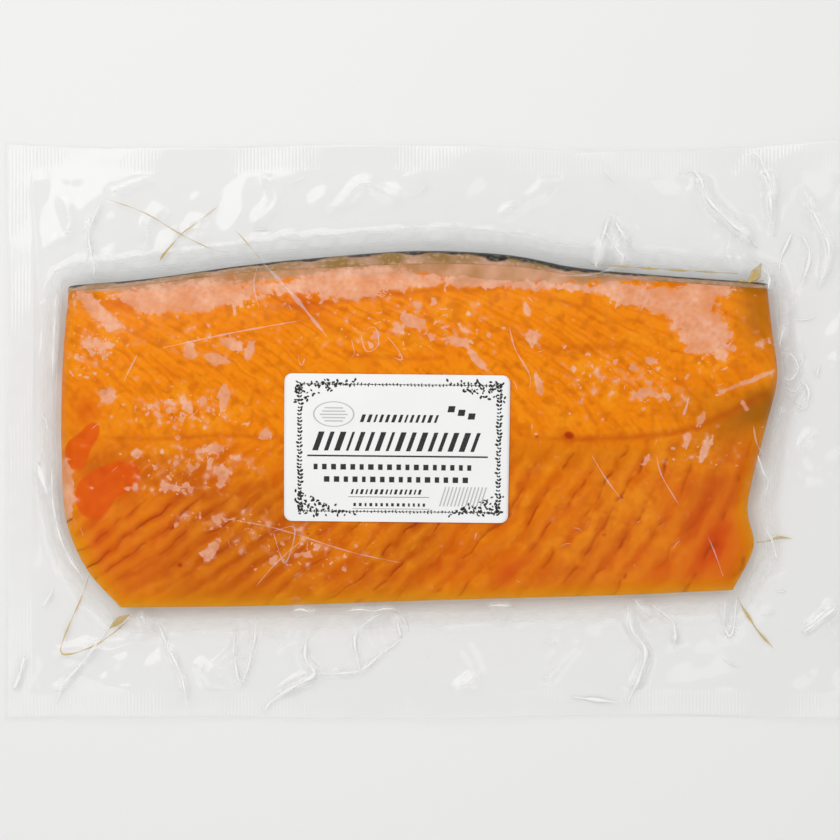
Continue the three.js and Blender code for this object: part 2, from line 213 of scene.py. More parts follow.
# Rounded ridges in the border: (half width, height, points).
SWELLS = [
    (3.0, 1.6, [(82.4, 88.7), (90, 90), (94.4, 80), (102.7, 71.5), (113, 63)]),
    (2.2, 1.4, [(106.5, 95), (111, 95.6), (115.8, 84), (115.2, 80), (117.4, 66.7)]),
    (2.0, 1.2, [(125.7, 84.9), (132.2, 72), (135.7, 62), (132.2, 48.5)]),
    (2.6, 1.0, [(-116.1, 82), (-107, 85.5), (-97, 89.5)]),
    (2.6, 1.0, [(-40.6, 75), (-33, 79), (-25.9, 85.6), (-16, 82), (-6, 81)]),
    (2.0, 1.2, [(65.9, -60.5), (67.6, -68.7), (72.4, -76.2), (70.3, -85), (65.9, -95.5)]),
    (1.8, 1.0, [(-45.4, -71), (-45.7, -78.8), (-42.6, -84.2), (-50, -88.7), (-57.5, -94)]),
    (2.0, 1.1, [(126.7, -70.2), (133, -65), (138.5, -60.3)]),
    (2.4, 0.9, [(36, -88), (43, -80), (50, -72)]), (2.4, 1.0, [(-139, -11), (-136.4, -18), (-133, -28)]),
    (2.4, 0.9, [(-101, 62), (-100, 72), (-92, 78)]), (2.0, 1.0, [(118, 30), (121, 38), (120, 47)]),
    (2.6, 0.8, [(8, -72), (14, -84), (4, -92)]), (2.6, 0.8, [(-84, -78), (-78, -88), (-66, -94)]),
    (3.0, 0.9, [(20, 74), (34, 82), (44, 92)]), (2.6, 0.9, [(-66, 70), (-56, 80), (-60, 92)]),
    (2.4, 0.9, [(-136, 62), (-128, 70), (-130, 84)]), (2.6, 0.9, [(130, -20), (126, -8), (132, 2)]),
]
# Sharp creases: (half width, height, points). Three of them run along a ridge. Each is swept as a spindle
# whose white is a painted highlight.
CREASES = [
    (0.55, 0.5, [(-97.1, -63.3), (-95, -72), (-89, -84), (-86.5, -96)]),
    (0.5, 0.45, [(-112.5, -66), (-122, -79), (-129.6, -88), (-132.4, -95)]),
    (0.45, 0.4, [(-70.5, -68.4), (-70.3, -79.4), (-68.6, -87), (-66.3, -84), (-63.3, -72), (-63, -62.8)]),
    (0.8, 0.6, [(-45.4, -71), (-45.7, -78.8), (-42.6, -84.2), (-50, -88.7), (-57.5, -94), (-60.6, -97.5)]),
    (0.45, 0.35, [(-42.6, -84.2), (-27.9, -83.5), (-20, -78), (-12, -72)]),
    (0.55, 0.5, [(-19.7, -63), (-24, -66), (-28.6, -72), (-26.9, -83)]),
    (0.5, 0.4, [(-14.9, -63), (-13.5, -68), (-12.4, -72)]),
    (0.8, 0.7, SWELLS[5][2]),
    (0.5, 0.5, [(67.6, -57.6), (70.5, -61), (74.2, -64.8)]),
    (0.6, 0.5, [(74.2, -60), (79.5, -64), (82.4, -67.5), (82.6, -76)]),
    (0.45, 0.45, [(99.6, -57.6), (99.9, -67), (101.8, -71.5), (103.5, -67), (103.7, -58)]),
    (0.9, 0.7, SWELLS[7][2]),
    (0.5, 0.45, [(60.4, 76.7), (57, 65), (53.9, 55.2)]), (0.5, 0.45, [(60.4, 76.7), (63.5, 70), (67.6, 64)]),
    (0.5, 0.4, [(58.3, 69.5), (63, 62), (64.5, 60.3), (62.1, 55.8)]),
    (0.4, 0.4, [(57.6, 68.5), (56.6, 62), (53.6, 56)]),
    (0.7, 0.5, [(84, 89.5), (90, 90), (94.4, 80), (102.7, 71.5), (112, 63.6)]),
    (0.7, 0.6, [(107, 95), (111, 95.6), (115.8, 84), (115.2, 80), (117.4, 67.5)]),
    (0.6, 0.5, SWELLS[2][2]),
    (0.6, 0.6, [(123.9, 70), (120, 61), (119, 56)]), (0.6, 0.6, [(126.7, 69), (129.5, 61), (126.7, 50)]),
    (0.4, 0.4, [(112.6, 48), (114.8, 57)]),
    (0.5, 0.5, [(117.5, 27), (123, 26.3), (125.5, 22), (122.8, 18), (118.2, 18.5)]),
    (0.5, 0.5, [(119.5, 15.4), (123.8, 13.5), (127.5, 16.5), (129.3, 13), (127.3, 7.5), (124.8, 9.5)]),
    (0.7, 0.6, [(116.4, 29), (118.8, 34), (120.9, 36.5)]), (0.45, 0.4, [(118, 9), (119.4, 5.5)]),
    (0.4, 0.4, [(-116.1, 81.4), (-120, 72), (-121, 66), (-118, 53)]),
    (0.4, 0.3, [(-131.6, 48), (-132.2, 30), (-132.6, 18)]),
    (0.5, 0.4, [(-132.8, -12), (-132, -28), (-128.5, -41), (-121.5, -51.5)]),
    (1.1, 0.6, [(-139, -11), (-136.4, -18), (-134.6, -22)]),
    (0.4, 0.35, [(-104, -63), (-103, -66.5), (-102, -63.5), (-100.5, -67), (-99.5, -63)]),
    (0.9, 0.5, [(-143, -78), (-145, -85), (-147, -90)]),
    (0.7, 0.4, [(46.5, -92.6), (55, -93.4), (63.5, -94.5)]),
    (0.6, 0.5, [(112, -33), (116, -38), (118, -45)]),
    (0.5, 0.4, [(109, -8), (111.5, -14), (114, -18), (112.5, -24)]),
    # Small wet waves along the belly edge, their white a painted glint.
    (0.3, 0.3, [(-50, -62), (-47, -61.2), (-44, -62), (-41, -61.4)]),
    (0.3, 0.3, [(17, -60.4), (21, -59.8), (26, -60.2)]),
    (0.35, 0.3, [(-32, -62.2), (-27, -61.3), (-22, -61.9), (-18, -61.1), (-13, -61.5)]),
]
# Creases in the film over the fish, swept with a faint painted highlight: (half width, height, points).
FISH_CREASES = [
    (0.8, 0.3, [(-60.2, 58.3), (-48, 45), (-36.9, 31.4)]), (0.35, 0.2, [(-93, 28), (-70, 33), (-45.4, 37.5)]),
    (0.3, 0.2, [(-101, 26), (-104, 20), (-106, 16)]), (0.3, 0.2, [(-61, 57), (-62, 49), (-60, 41)]),
    (0.3, 0.2, [(24, 36), (26, 28), (31, 19), (31, 14)]),
    (0.25, 0.2, [(-76, -29), (-55, -33), (-30, -41), (-12, -45)]),
    (0.25, 0.2, [(-62, -53), (-55, -45), (-46, -37)]), (0.3, 0.2, [(52, -8), (57, -16), (63, -24)]),
    (0.3, 0.2, [(74, -8), (76, -15), (82, -25)]), (0.25, 0.2, [(92, -35), (95, -42), (98, -50)]),
    (0.35, 0.2, [(107, 2), (108.5, -4), (112, -9)]), (0.5, 0.25, [(40, 53), (52, 53), (66, 58)]),
    (0.3, 0.2, [(-26, 33), (-24, 27), (-20, 29), (-21, 35), (-25, 34)]),
    (0.3, 0.2, [(-17, 32), (-13, 27), (-12, 24), (-15, 25)]),
    (0.25, 0.2, [(-29, 31), (-28, 26), (-29.5, 25)]),
    (0.3, 0.2, [(-47, 26), (-46, 22), (-44.5, 25)]),
    (0.3, 0.2, [(-56, -34), (-52, -45), (-48.5, -33), (-56, -34)]),
    (0.7, 0.25, [(2, 20), (5, 13), (10, 7)]), (0.8, 0.3, [(85, 12), (84, 8), (83, 5)]),
]
# Small folds strewn among them, swept with the same painted highlight: (seed, count, on the fish, half box,
# lengths, half widths).
SMALL_BORDER_FOLDS = (8, 20, False, (140, 90), (3, 9), (0.15, 0.35))
SMALL_FISH_FOLDS = (7, 40, True, (124, 56), (1.2, 5), (0.1, 0.25))
# Oil that has crept along creases: (half width, height, points).
OIL_THREADS = [
    (0.30, 0.3, [(-119, -49), (-125.5, -62), (-130.5, -75), (-128, -77.5), (-118, -74), (-108, -66.5),
                 (-104, -62.5)]),
    (1.0, 0.5, [(-114.5, -69), (-110, -65.5), (-105.5, -63)]),
    (0.17, 0.2, [(-116, 81), (-102, 76), (-90, 69), (-80, 64), (-72, 61.8)]),
    (0.17, 0.2, [(-76, 78.5), (-84, 72), (-90, 67.5), (-97, 58)]),
    (0.6, 0.35, [(-91, 66), (-94.5, 62), (-96, 59)]),
    (0.15, 0.2, [(-70.2, 70), (-64, 63), (-60.4, 58.8)]),
    (0.40, 0.4, [(109, -38), (114, -38), (119, -37), (124, -37.5)]),
    (0.45, 0.4, [(103.5, -57), (108, -64), (112, -70), (117, -75.5)]),
    (1.6, 0.8, [(106, 50.5), (109.5, 54), (113, 58.5)]), (0.35, 0.3, [(102, 51.5), (107, 51), (112, 51.5)]),
    (0.35, 0.3, [(52, 57.2), (66, 56.2), (84, 55.2), (104, 54.2)]),
]

# The label's rows of plain bars: (v, height, first u, last u, narrowest, widest, gap, slant).
PRINT_ROWS = [
    (-0.9, 6.4, -28.5, 28, 0.8, 2.0, 2.0, 0.35), (8.8, 2.6, -12.5, 13, 0.6, 1.2, 1.1, 0.35),
    (-7.3, 1.9, -28, 26, 1.2, 1.9, 1.5, 0.0), (-11.5, 1.9, -24.5, 25, 1.2, 1.9, 1.5, 0.0),
    (-15.6, 1.7, -15.5, 8, 0.5, 1.0, 0.9, 0.3), (-19.7, 1.1, -14.5, 10.5, 0.6, 1.1, 1.0, 0.0),
]
# The rules under them: (u, v, length, height).
RULES = [(-30.2, -2.9, 61, 0.55), (-16.3, -16.6, 27.5, 0.16), (-14.8, -20.6, 26.4, 0.12)]


# ---------------------------------------------------------------------------------------------------
# Numbers and lines
# ---------------------------------------------------------------------------------------------------

def linear(hex_colour):
    """An sRGB hex colour as linear red, green, blue and an alpha of 1."""
    shares = [int(hex_colour[i:i + 2], 16) / 255 for i in (1, 3, 5)]
    return (*(c / 12.92 if c <= 0.04045 else ((c + 0.055) / 1.055) ** 2.4 for c in shares), 1.0)


def smoothstep(value, low, high):
    """0 at low, 1 at high, and between them the cubic that is level at both."""
    share = np.clip((value - low) / (high - low), 0, 1)
    return share * share * (3 - 2 * share)


def lerp(a, b, share):
    """The value that share of the way from a to b."""
    return a + (b - a) * share


def smooth_line(points, steps=40):
    """A dense line through the points: between two of them, the cubic whose slope at each of the two
    is half the way from the point before it to the point after it."""
    p = np.asarray(points, float)
    p = np.vstack([2 * p[0] - p[1], p, 2 * p[-1] - p[-2]])
    u = (np.arange(steps) / steps)[:, None]
    parts = []
    for before, start, end, after in zip(p, p[1:], p[2:], p[3:]):
        leave, arrive = (end - before) / 2, (after - start) / 2
        parts.append((2 * u**3 - 3 * u**2 + 1) * start + (u**3 - 2 * u**2 + u) * leave
                     + (3 * u**2 - 2 * u**3) * end + (u**3 - u**2) * arrive)
    return np.vstack(parts + [p[-2:-1]])


def spaced(line, shares):
    """The points at those shares of a line's length."""
    lengths = np.concatenate([[0], np.cumsum(np.linalg.norm(np.diff(line, axis=0), axis=1))])
    at = np.asarray(shares) * lengths[-1]
    return np.stack([np.interp(at, lengths, line[:, k]) for k in range(line.shape[1])], -1)


def to_segments(places, line):
    """Each place's squared distance to each segment of a line, and how far along the segment its
    nearest point is."""
    step = np.diff(line, axis=0)
    away = places[:, None] - line[:-1]
    share = np.clip((away * step).sum(2) / (step**2).sum(1), 0, 1)
    return ((away - share[..., None] * step)**2).sum(2), share


def ovals(x, y, places):
    """A sum of soft ovals: each is its strength times the exponential of minus the squared distance in
    half sizes."""
    total = np.zeros_like(x)
    for cx, cy, long, wide, turn, strength in places:
        c, s = math.cos(math.radians(turn)), math.sin(math.radians(turn))
        along, across = (x - cx) * c + (y - cy) * s, (y - cy) * c - (x - cx) * s
        total += strength * np.exp(-(along / long)**2 - (across / wide)**2)
    return total


def near_lines(x, y, lines):
    """A sum of soft lines: each is its strength times the exponential of minus the squared distance in
    half widths, and fades over its first and last fifth."""
    total = np.zeros_like(x)
    for half_width, strength, points in lines:
        line = smooth_line(points, 5)
        low, high = line.min(0) - 2.6 * half_width, line.max(0) + 2.6 * half_width
        here = (x > low[0]) & (x < high[0]) & (y > low[1]) & (y < high[1])
        squared, share = to_segments(np.column_stack([x[here], y[here]]), line)
        nearest, row = squared.argmin(1), np.arange(len(squared))
        along = (nearest + share[row, nearest]) / (len(line) - 1)
        ends = smoothstep(along, 0, 0.2) * smoothstep(1 - along, 0, 0.2)
        total[here] += strength * ends * np.exp(-squared[row, nearest] / half_width**2)
    return total


def ripples(x, y, seed, count, shortest, longest):
    """A sum of plane waves with random directions, lengths and phases, over the square root of their
    number."""
    draw = np.random.default_rng(seed)
    total = np.zeros_like(x)
    for turn, share, phase in draw.uniform(0, 1, (count, 3)) * (math.pi, 1, 2 * math.pi):
        wave = 2 * math.pi / lerp(shortest, longest, share)
        total += np.sin(wave * (x * math.cos(turn) + y * math.sin(turn)) + phase)
    return total / math.sqrt(count)


# ---------------------------------------------------------------------------------------------------
# The fish's outline
# ---------------------------------------------------------------------------------------------------

BELLY, BACK, LEFT, RIGHT = (smooth_line(p) for p in (BELLY_POINTS, BACK_POINTS, LEFT_POINTS, RIGHT_POINTS))


def coons(sides, corners, s, t):
    """A grid between four sides: the blend of belly and back across it, plus the blend of left and
    right along it, less the blend of the corners. s and t are its rows' shares."""
    belly, back, left, right = sides
    s, t = s[:, None, None], t[None, :, None]
    blends = [lerp(low, high, t) for low, high in zip(corners[:2], corners[2:])]
    return lerp(belly[:, None], back[:, None], t) + lerp(left, right, s) - lerp(*blends, s)


class Stations:
    """Places round the fish's outline, anticlockwise from the belly's left end. side is 0 on the
    belly, 1 on the right, 2 on the back and 3 on the left, and share runs 0 to 1 from the belly or
    from the left end."""

    def __init__(self, along, across):
        self.along, self.across = along, across
        a, c = np.arange(along) / along, np.arange(across) / across
        self.side = np.repeat([0, 1, 2, 3], [along, across, along, across])
        self.share = np.concatenate([a, c, 1 - a, 1 - c])
        self.points = np.vstack([spaced(BELLY, a), spaced(RIGHT, c), spaced(BACK, 1 - a),
                                 spaced(LEFT, 1 - c)])
        ahead = np.roll(self.points, -1, 0) - np.roll(self.points, 1, 0)
        ahead /= np.linalg.norm(ahead, axis=1)[:, None]
        self.out = np.stack([ahead[:, 1], -ahead[:, 0]], 1)

    def four_sides(self, loop):
        """A loop of values at the stations as four sides, each from the belly or the left end."""
        closed = np.concatenate([loop, loop[:1]])
        a, c = self.along, self.across
        return (closed[:a + 1], closed[a + c:2 * a + c + 1][::-1],
                closed[2 * a + c:][::-1], closed[a:a + c + 1])

    def grid(self, loop):
        """The grid inside a loop of places at the stations."""
        sides = self.four_sides(loop)
        belly, back = sides[:2]
        return coons(sides, (belly[0], belly[-1], back[0], back[-1]),
                     np.linspace(0, 1, self.along + 1), np.linspace(0, 1, self.across + 1))


OUTLINE = Stations(80, 40).points


def edge_distance(points):
    """Each point's distance to the nearest side of the outline's polygon."""
    flat = points.reshape(-1, 2)
    closed = np.vstack([OUTLINE, OUTLINE[:1]])
    parts = [np.sqrt(to_segments(part, closed)[0].min(1))
             for part in np.array_split(flat, 1 + len(flat) // 6000)]
    return np.concatenate(parts).reshape(points.shape[:-1])


def is_inside(points):
    """Which points are inside the outline: those with an odd number of its sides to their right."""
    ahead = np.roll(OUTLINE, -1, 0)
    x, y = points[:, :1], points[:, 1:]
    crosses = (OUTLINE[:, 1] > y) != (ahead[:, 1] > y)
    rise = np.where(ahead[:, 1] == OUTLINE[:, 1], 1, ahead[:, 1] - OUTLINE[:, 1])
    at = OUTLINE[:, 0] + (y - OUTLINE[:, 1]) * (ahead[:, 0] - OUTLINE[:, 0]) / rise
    return (crosses & (at > x)).sum(1) % 2 == 1


def thickness(x, y):
    """The fish's thickness away from its edges: a power of a sine climbs from the belly to a ridge
    near the back, a power curve falls beyond it, and a smooth step thins the tail end."""
    t = np.clip((y + FISH_HALF) / (2 * FISH_HALF), 0, 1)
    climb = np.sin((np.pi / 2) * np.minimum(1, t / RIDGE_AT))**1.3
    fall = np.maximum(0, (t - RIDGE_AT) / (1 - RIDGE_AT))**2.2
    across = lerp(THICK_BELLY, THICK_BACK, climb) - BACK_EDGE_DROP * fall
    uneven = 0.35 * np.sin(x / 17 + 1) * np.sin(y / 13)
    return across * (1 - TAIL_THIN * smoothstep(x, 40, 125)) + uneven


def flesh_top(points):
    """The height of the fish's top: its thickness, with a quarter round along the outline."""
    inward = np.clip(edge_distance(points) / SHOULDER, 0, 1)
    rounded = np.sqrt(1 - (1 - inward)**2)
    return thickness(points[..., 0], points[..., 1]) * lerp(WALL_SHARE, 1, rounded)


def lip_width(s):
    """How much skin shows along the back edge: most at the fish's middle."""
    return lerp(SKIN_LIP, SKIN_LIP_MIDDLE, np.sin(np.pi * np.clip(s, 0, 1))**4)


# ---------------------------------------------------------------------------------------------------
# Meshes
# ---------------------------------------------------------------------------------------------------

def quads(index):
    """The four-cornered faces of a grid of vertex numbers."""
    return np.stack([index[:-1, :-1], index[1:, :-1], index[1:, 1:], index[:-1, 1:]], -1).reshape(-1, 4)


def outward(points, faces):
    """The faces, turned over where the closed shape would be inside out: where the tetrahedra from the
    origin to its faces have a negative sum."""
    total = 0.0
    for face in faces:
        corner = [points[face[:, k]] for k in range(face.shape[1])]
        total += sum((corner[0] * np.cross(b, c)).sum() for b, c in zip(corner[1:], corner[2:]))
    return faces if total > 0 else [f[:, ::-1] for f in faces]


def add_piece(name, shape, material, slot=None, replaced=()):
    """Makes a piece from a shape: points in millimetres, arrays of faces, and fields, which are values per
    point that its material reads. One with a slot rides on the pack."""
    points, faces, fields = shape
    mesh = bpy.data.meshes.new(name)
    sizes = np.concatenate([np.full(len(f), f.shape[1]) for f in faces])
    mesh.vertices.add(len(points))
    mesh.vertices.foreach_set("co", (points * MM).astype(np.float32).ravel())
    mesh.loops.add(int(sizes.sum()))
    mesh.loops.foreach_set("vertex_index", np.concatenate([f.ravel() for f in faces]).astype(np.int32))
    mesh.polygons.add(len(sizes))
    mesh.polygons.foreach_set("loop_start", (np.cumsum(sizes) - sizes).astype(np.int32))
    mesh.polygons.foreach_set("use_smooth", np.ones(len(sizes), bool))
    mesh.update(calc_edges=True)
    if mesh.validate():
        raise ValueError(f"{name}: the mesh had faults")
    for key, values in fields.items():
        mesh.attributes.new(key, "FLOAT", "POINT").data.foreach_set("value", values.astype(np.float32))
    mesh.materials.append(material)
    piece = bpy.data.objects.new(name, mesh)
    bpy.context.scene.collection.objects.link(piece)
    if slot:
        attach(piece, "root")
    if replaced:
        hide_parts(*replaced)
    return piece


def sweep(name, paths, material, slot, sides=8):
    """Closed spindles along paths of (points, half width, height). A section is an oval with a shallow
    belly, and it shrinks to nothing at the ends as the root of a sine."""
    turn = 2 * np.pi * np.arange(sides) / sides
    all_points, fours, threes, first = [], [], [], 0
    for points, half_width, height in paths:
        ahead = np.gradient(points, axis=0)
        side = np.stack([ahead[:, 1], -ahead[:, 0], np.zeros(len(points))], 1)
        side /= np.linalg.norm(side, axis=1)[:, None]
        up = np.cross(side, ahead)
        up /= np.linalg.norm(up, axis=1)[:, None]
        ends = np.sqrt(np.sin(np.pi * np.linspace(0, 1, len(points))))
        ends = (ends * (0.8 + 0.4 * np.sin(0.5 * np.arange(len(points)) + points[0, 0])))[:, None, None]
        ring = (points[:, None] + half_width * ends * np.cos(turn)[:, None] * side[:, None]
                + height * ends * np.maximum(np.sin(turn), -0.25)[:, None] * up[:, None])[1:-1]
        low = ring.shape[0] * sides
        index = np.arange(low).reshape(-1, sides)
        index = np.hstack([index, index[:, :1]])
        caps = np.vstack([np.column_stack([np.full(sides, low), index[0, :-1], index[0, 1:]]),
                          np.column_stack([np.full(sides, low + 1), index[-1, 1:], index[-1, :-1]])])
        local = np.vstack([ring.reshape(-1, 3), points[:1], points[-1:]])
        tube, caps = outward(local, [quads(index), caps])
        all_points.append(local)
        fours.append(tube + first)
        threes.append(caps + first)
        first += len(local)
    shape = np.vstack(all_points), [np.vstack(fours), np.vstack(threes)], {}
    return add_piece(name, shape, material, slot)


def lay_on(piece, lines, step=0.8):
    """Lines laid on a piece: places come every step along each, as high as the piece is there."""
    tree = BVHTree.FromObject(piece, bpy.context.evaluated_depsgraph_get())
    laid = []
    for half_width, height, points in lines:
        dense = smooth_line(points, 12)
        reach = np.linalg.norm(np.diff(dense, axis=0), axis=1).sum()
        flat = spaced(dense, np.linspace(0, 1, max(5, int(reach / step))))
        hits = [tree.ray_cast(Vector((x * MM, y * MM, 1)), Vector((0, 0, -1)))[0] for x, y in flat]
        z = [hit.z / MM if hit else WEB for hit in hits]
        laid.append((np.column_stack([flat, z]), half_width, height))
    return laid


def small_folds(seed, count, on_fish, half_box, lengths, half_widths):
    """Short bent lines at random places in a box, those on the fish or those off it, and all clear of
    its edge."""
    draw = np.random.default_rng(seed)
    at = draw.uniform(-1, 1, (3 * count, 2)) * half_box
    clear = (is_inside(at) == on_fish) & (edge_distance(at) > 5)
    lines = []
    for place in at[clear][:count]:
        turn, bend, reach, wide = draw.uniform(0, 1, 4)
        way = lerp(*lengths, reach) / 2 * np.array([math.cos(turn * math.tau), math.sin(turn * math.tau)])
        middle = place + 0.7 * (bend - 0.5) * np.array([-way[1], way[0]])
        lines.append((lerp(*half_widths, wide), 0.25, [place - way, middle, place + way]))
    return lines


# ---------------------------------------------------------------------------------------------------
# Materials
# ---------------------------------------------------------------------------------------------------

# Settings that many nodes share: a smooth step, a mix of two colours, a product and a sum.
SMOOTH = {"interpolation_type": "SMOOTHSTEP"}
BLEND = {"out": 2, "data_type": "RGBA"}
TIMES = {"operation": "MULTIPLY"}
PLUS = {"operation": "ADD"}


def add_node(tree, kind, inputs=(), out=0, **settings):
    """Adds a shader node with its own settings. inputs are values or other nodes' outputs, in order or
    by socket, and out is the output that comes back."""
    made = tree.nodes.new("ShaderNode" + kind)
    for key, value in settings.items():
        setattr(made, key, value)
    for key, value in inputs.items() if isinstance(inputs, dict) else enumerate(inputs):
        if isinstance(value, bpy.types.NodeSocket):
            tree.links.new(value, made.inputs[key])
        else:
            made.inputs[key].default_value = value
    return made.outputs[out] if made.outputs else None


def new_material(name):
    """An empty material, and the function that adds a node to it."""
    material = bpy.data.materials.new(name)
    material.use_nodes = True
    material.node_tree.nodes.clear()
    return material, partial(add_node, material.node_tree)


def salmon_flesh_material(settings):
    """Cold-smoked salmon: cured, oily muscle. Deep orange where film lies wet on it and pale pink where
    air lies between, a painted reflection, with dark red-brown lines of connective tissue between the flakes."""
    material, add = new_material("cold_smoked_salmon")
    where = add("TexCoord", out="Object")
    own = {name: add("Attribute", attribute_name=name, out="Fac")
           for name in ("flake", "height", "line", "fold", "high", "thin", *ZONES)}
    grain = {size: add("TexNoise", {"Vector": where, "Scale": 1 / (size * MM), "Detail": detail})
             for size, detail in ((1.5, 1.0), (4, 1.0), (7, 2.0), (9, 2.0), (26, 0.0))}
    cloud = add("MapRange", (grain[9], 0.35, 0.65))

    # Layers of colour from the bottom up, each with its share. Broad tones come first, then streaks that
    # run with the flakes, grain, and the zones.
    broad = add("MapRange", (grain[26], 0.35, 0.65), **SMOOTH)
    layers = [(broad, settings.flesh_low), (own["high"], settings.flesh_bright)]
    streak = add("CombineXYZ", (own["flake"], own["height"]))
    streak = add("TexNoise", {"Vector": streak, "Scale": 1.9, "Detail": 2.0})
    for value, low, high, most, tone in (
            (streak, 0.42, 0.72, 0.34, "#f39a14"), (streak, 0.50, 0.26, 0.38, "#c05800"),
            (grain[9], 0.50, 0.72, 0.40, "#f39c18"), (grain[4], 0.50, 0.28, 0.42, "#c05600"),
            (grain[1.5], 0.54, 0.76, 0.10, "#f7a844"), (grain[1.5], 0.46, 0.26, 0.16, "#bc5402")):
        layers.append((add("MapRange", (value, low, high, 0.0, most), **SMOOTH), linear(tone)))
    # fold is painted shade in the folds of the flesh.
    for name, strength, tone in (("red", 0.8, "#cc4200"), ("shade", 0.7, "#a05a04"),
                                 # thin is a painted glow: light coming through the flesh along its thin edge.
                                 ("thin", 0.8, "#eda81c"), ("fold", 0.55, "#b84800")):
        layers.append((add("Math", (own[name], strength), **TIMES, use_clamp=True), linear(tone)))

    # A flake is lighter along its middle. The lines between flakes are each dark to their own degree,
    # thin, broken, and have painted shade on one side.
    wander = add("MapRange", (grain[9], 0.0, 1.0, -0.2, 0.2))
    count = add("Math", (own["flake"], wander), **PLUS)
    nearest = add("Math", (count,), operation="ROUND")
    off = add("Math", (count, nearest), operation="SUBTRACT")
    away = add("Math", (off,), operation="ABSOLUTE")
    plump = add("MapRange", (away, 0.12, 0.42, 0.0, 0.3), **SMOOTH)
    layers.append((add("Math", (plump, own["line"]), **TIMES, use_clamp=True), linear("#f09418")))
    degree = add("TexWhiteNoise", {"W": nearest}, noise_dimensions="1D")
    degree = add("MapRange", (degree, 0.0, 1.0, 0.25, 1.15))
    degree = add("Math", (degree, own["line"]), **TIMES)
    broken = add("MapRange", (grain[7], 0.42, 0.58, 0.06, 1.0), **SMOOTH)
    degree = add("Math", (degree, broken), **TIMES)
    core = add("MapRange", (away, 0.09, 0.02), **SMOOTH)
    # Painted shade on one side of each line.
    side = add("MapRange", (off, -0.3, 0.0), **SMOOTH)
    side = add("Math", (side, add("MapRange", (off, 0.05, 0.0))), **TIMES)
    for mark, strength, tone in ((side, 0.5, linear("#b84600")), (core, 0.78, settings.line_colour)):
        share = add("Math", (mark, degree), **TIMES)
        layers.append((add("Math", (share, strength), **TIMES, use_clamp=True), tone))

    # Oil pools and blood spots have sharp edges, and the grey-brown fat by the skin is specked.
    pool = add("MapRange", (grain[9], 0.0, 1.0, -0.08, 0.08))
    pool = add("Math", (own["pool"], pool), **PLUS)
    pool = add("MapRange", (pool, 0.46, 0.50, 0.0, 0.8))
    deep = add("Mix", {0: grain[4], 6: linear("#cc3e00"), 7: linear("#e85e04")}, **BLEND)
    blood = add("MapRange", (own["blood"], 0.2, 0.7, 0.0, 0.8))
    fat = add("Mix", {0: cloud, 6: linear("#ac8058"), 7: linear("#d0a084")}, **BLEND)
    band = add("Math", (grain[4], own["band"]), **PLUS)
    band = add("MapRange", (band, 0.82, 1.12, 0.0, 0.9), **SMOOTH)
    layers += [(pool, deep), (blood, linear("#a01402")), (band, fat)]

    # Pale patches and flecks where the film stands off: a painted reflection off the air gap, ragged from
    # noise that shifts the pattern.
    shift = add("TexNoise", {"Vector": where, "Scale": 1 / (3 * MM), "Detail": 2.0}, "Color")
    shift = add("VectorMath", {0: shift, 1: (-0.5, -0.5, -0.5)}, **PLUS)
    shift = add("VectorMath", {0: shift, 3: 4.5 * MM}, operation="SCALE")
    ragged = add("VectorMath", {0: where, 1: shift}, **PLUS)
    wet = add("MapRange", (grain[4], 0.2, 0.8, -0.55, 0.55))
    air_gap_sheen = add("Math", (own["air_gap_sheen"], wet), **PLUS)
    soft = add("MapRange", (air_gap_sheen, 0.40, 0.64, 0.0, 0.4))
    air_gap_sheen = add("Math", (soft, add("MapRange", (air_gap_sheen, 0.61, 0.66))), operation="MAXIMUM")
    half = add("Math", (own["air_gap_sheen"], 0.5), **TIMES)
    for size, need, place in ((3.4, 0.80, where), (1.5, 0.84, ragged)):
        fleck = add("TexNoise", {"Vector": place, "Scale": 1 / (size * MM), "Detail": 1.0})
        fleck = add("Math", (fleck, half), **PLUS)
        fleck = add("MapRange", (fleck, need, need + 0.03))
        air_gap_sheen = add("Math", (air_gap_sheen, fleck), operation="MAXIMUM")
    pale = add("Mix", {0: cloud, 6: linear("#da9672"), 7: linear("#eab69c")}, **BLEND)
    share = add("MapRange", (grain[1.5], 0.3, 0.7, 0.6 * settings.gap_sheen, settings.gap_sheen))
    layers.append((add("Math", (share, air_gap_sheen), **TIMES), pale))

    colour = settings.flesh_deep
    for share, tone in layers:
        colour = add("Mix", {0: share, 6: colour, 7: tone}, **BLEND)
    shader = add("BsdfPrincipled", {
        "Base Color": colour, "Roughness": 0.38, "Specular IOR Level": 0.05,
        "Normal": add("Bump", {"Height": grain[4], "Distance": 0.15 * MM})})
    add("OutputMaterial", (shader,))
    return material


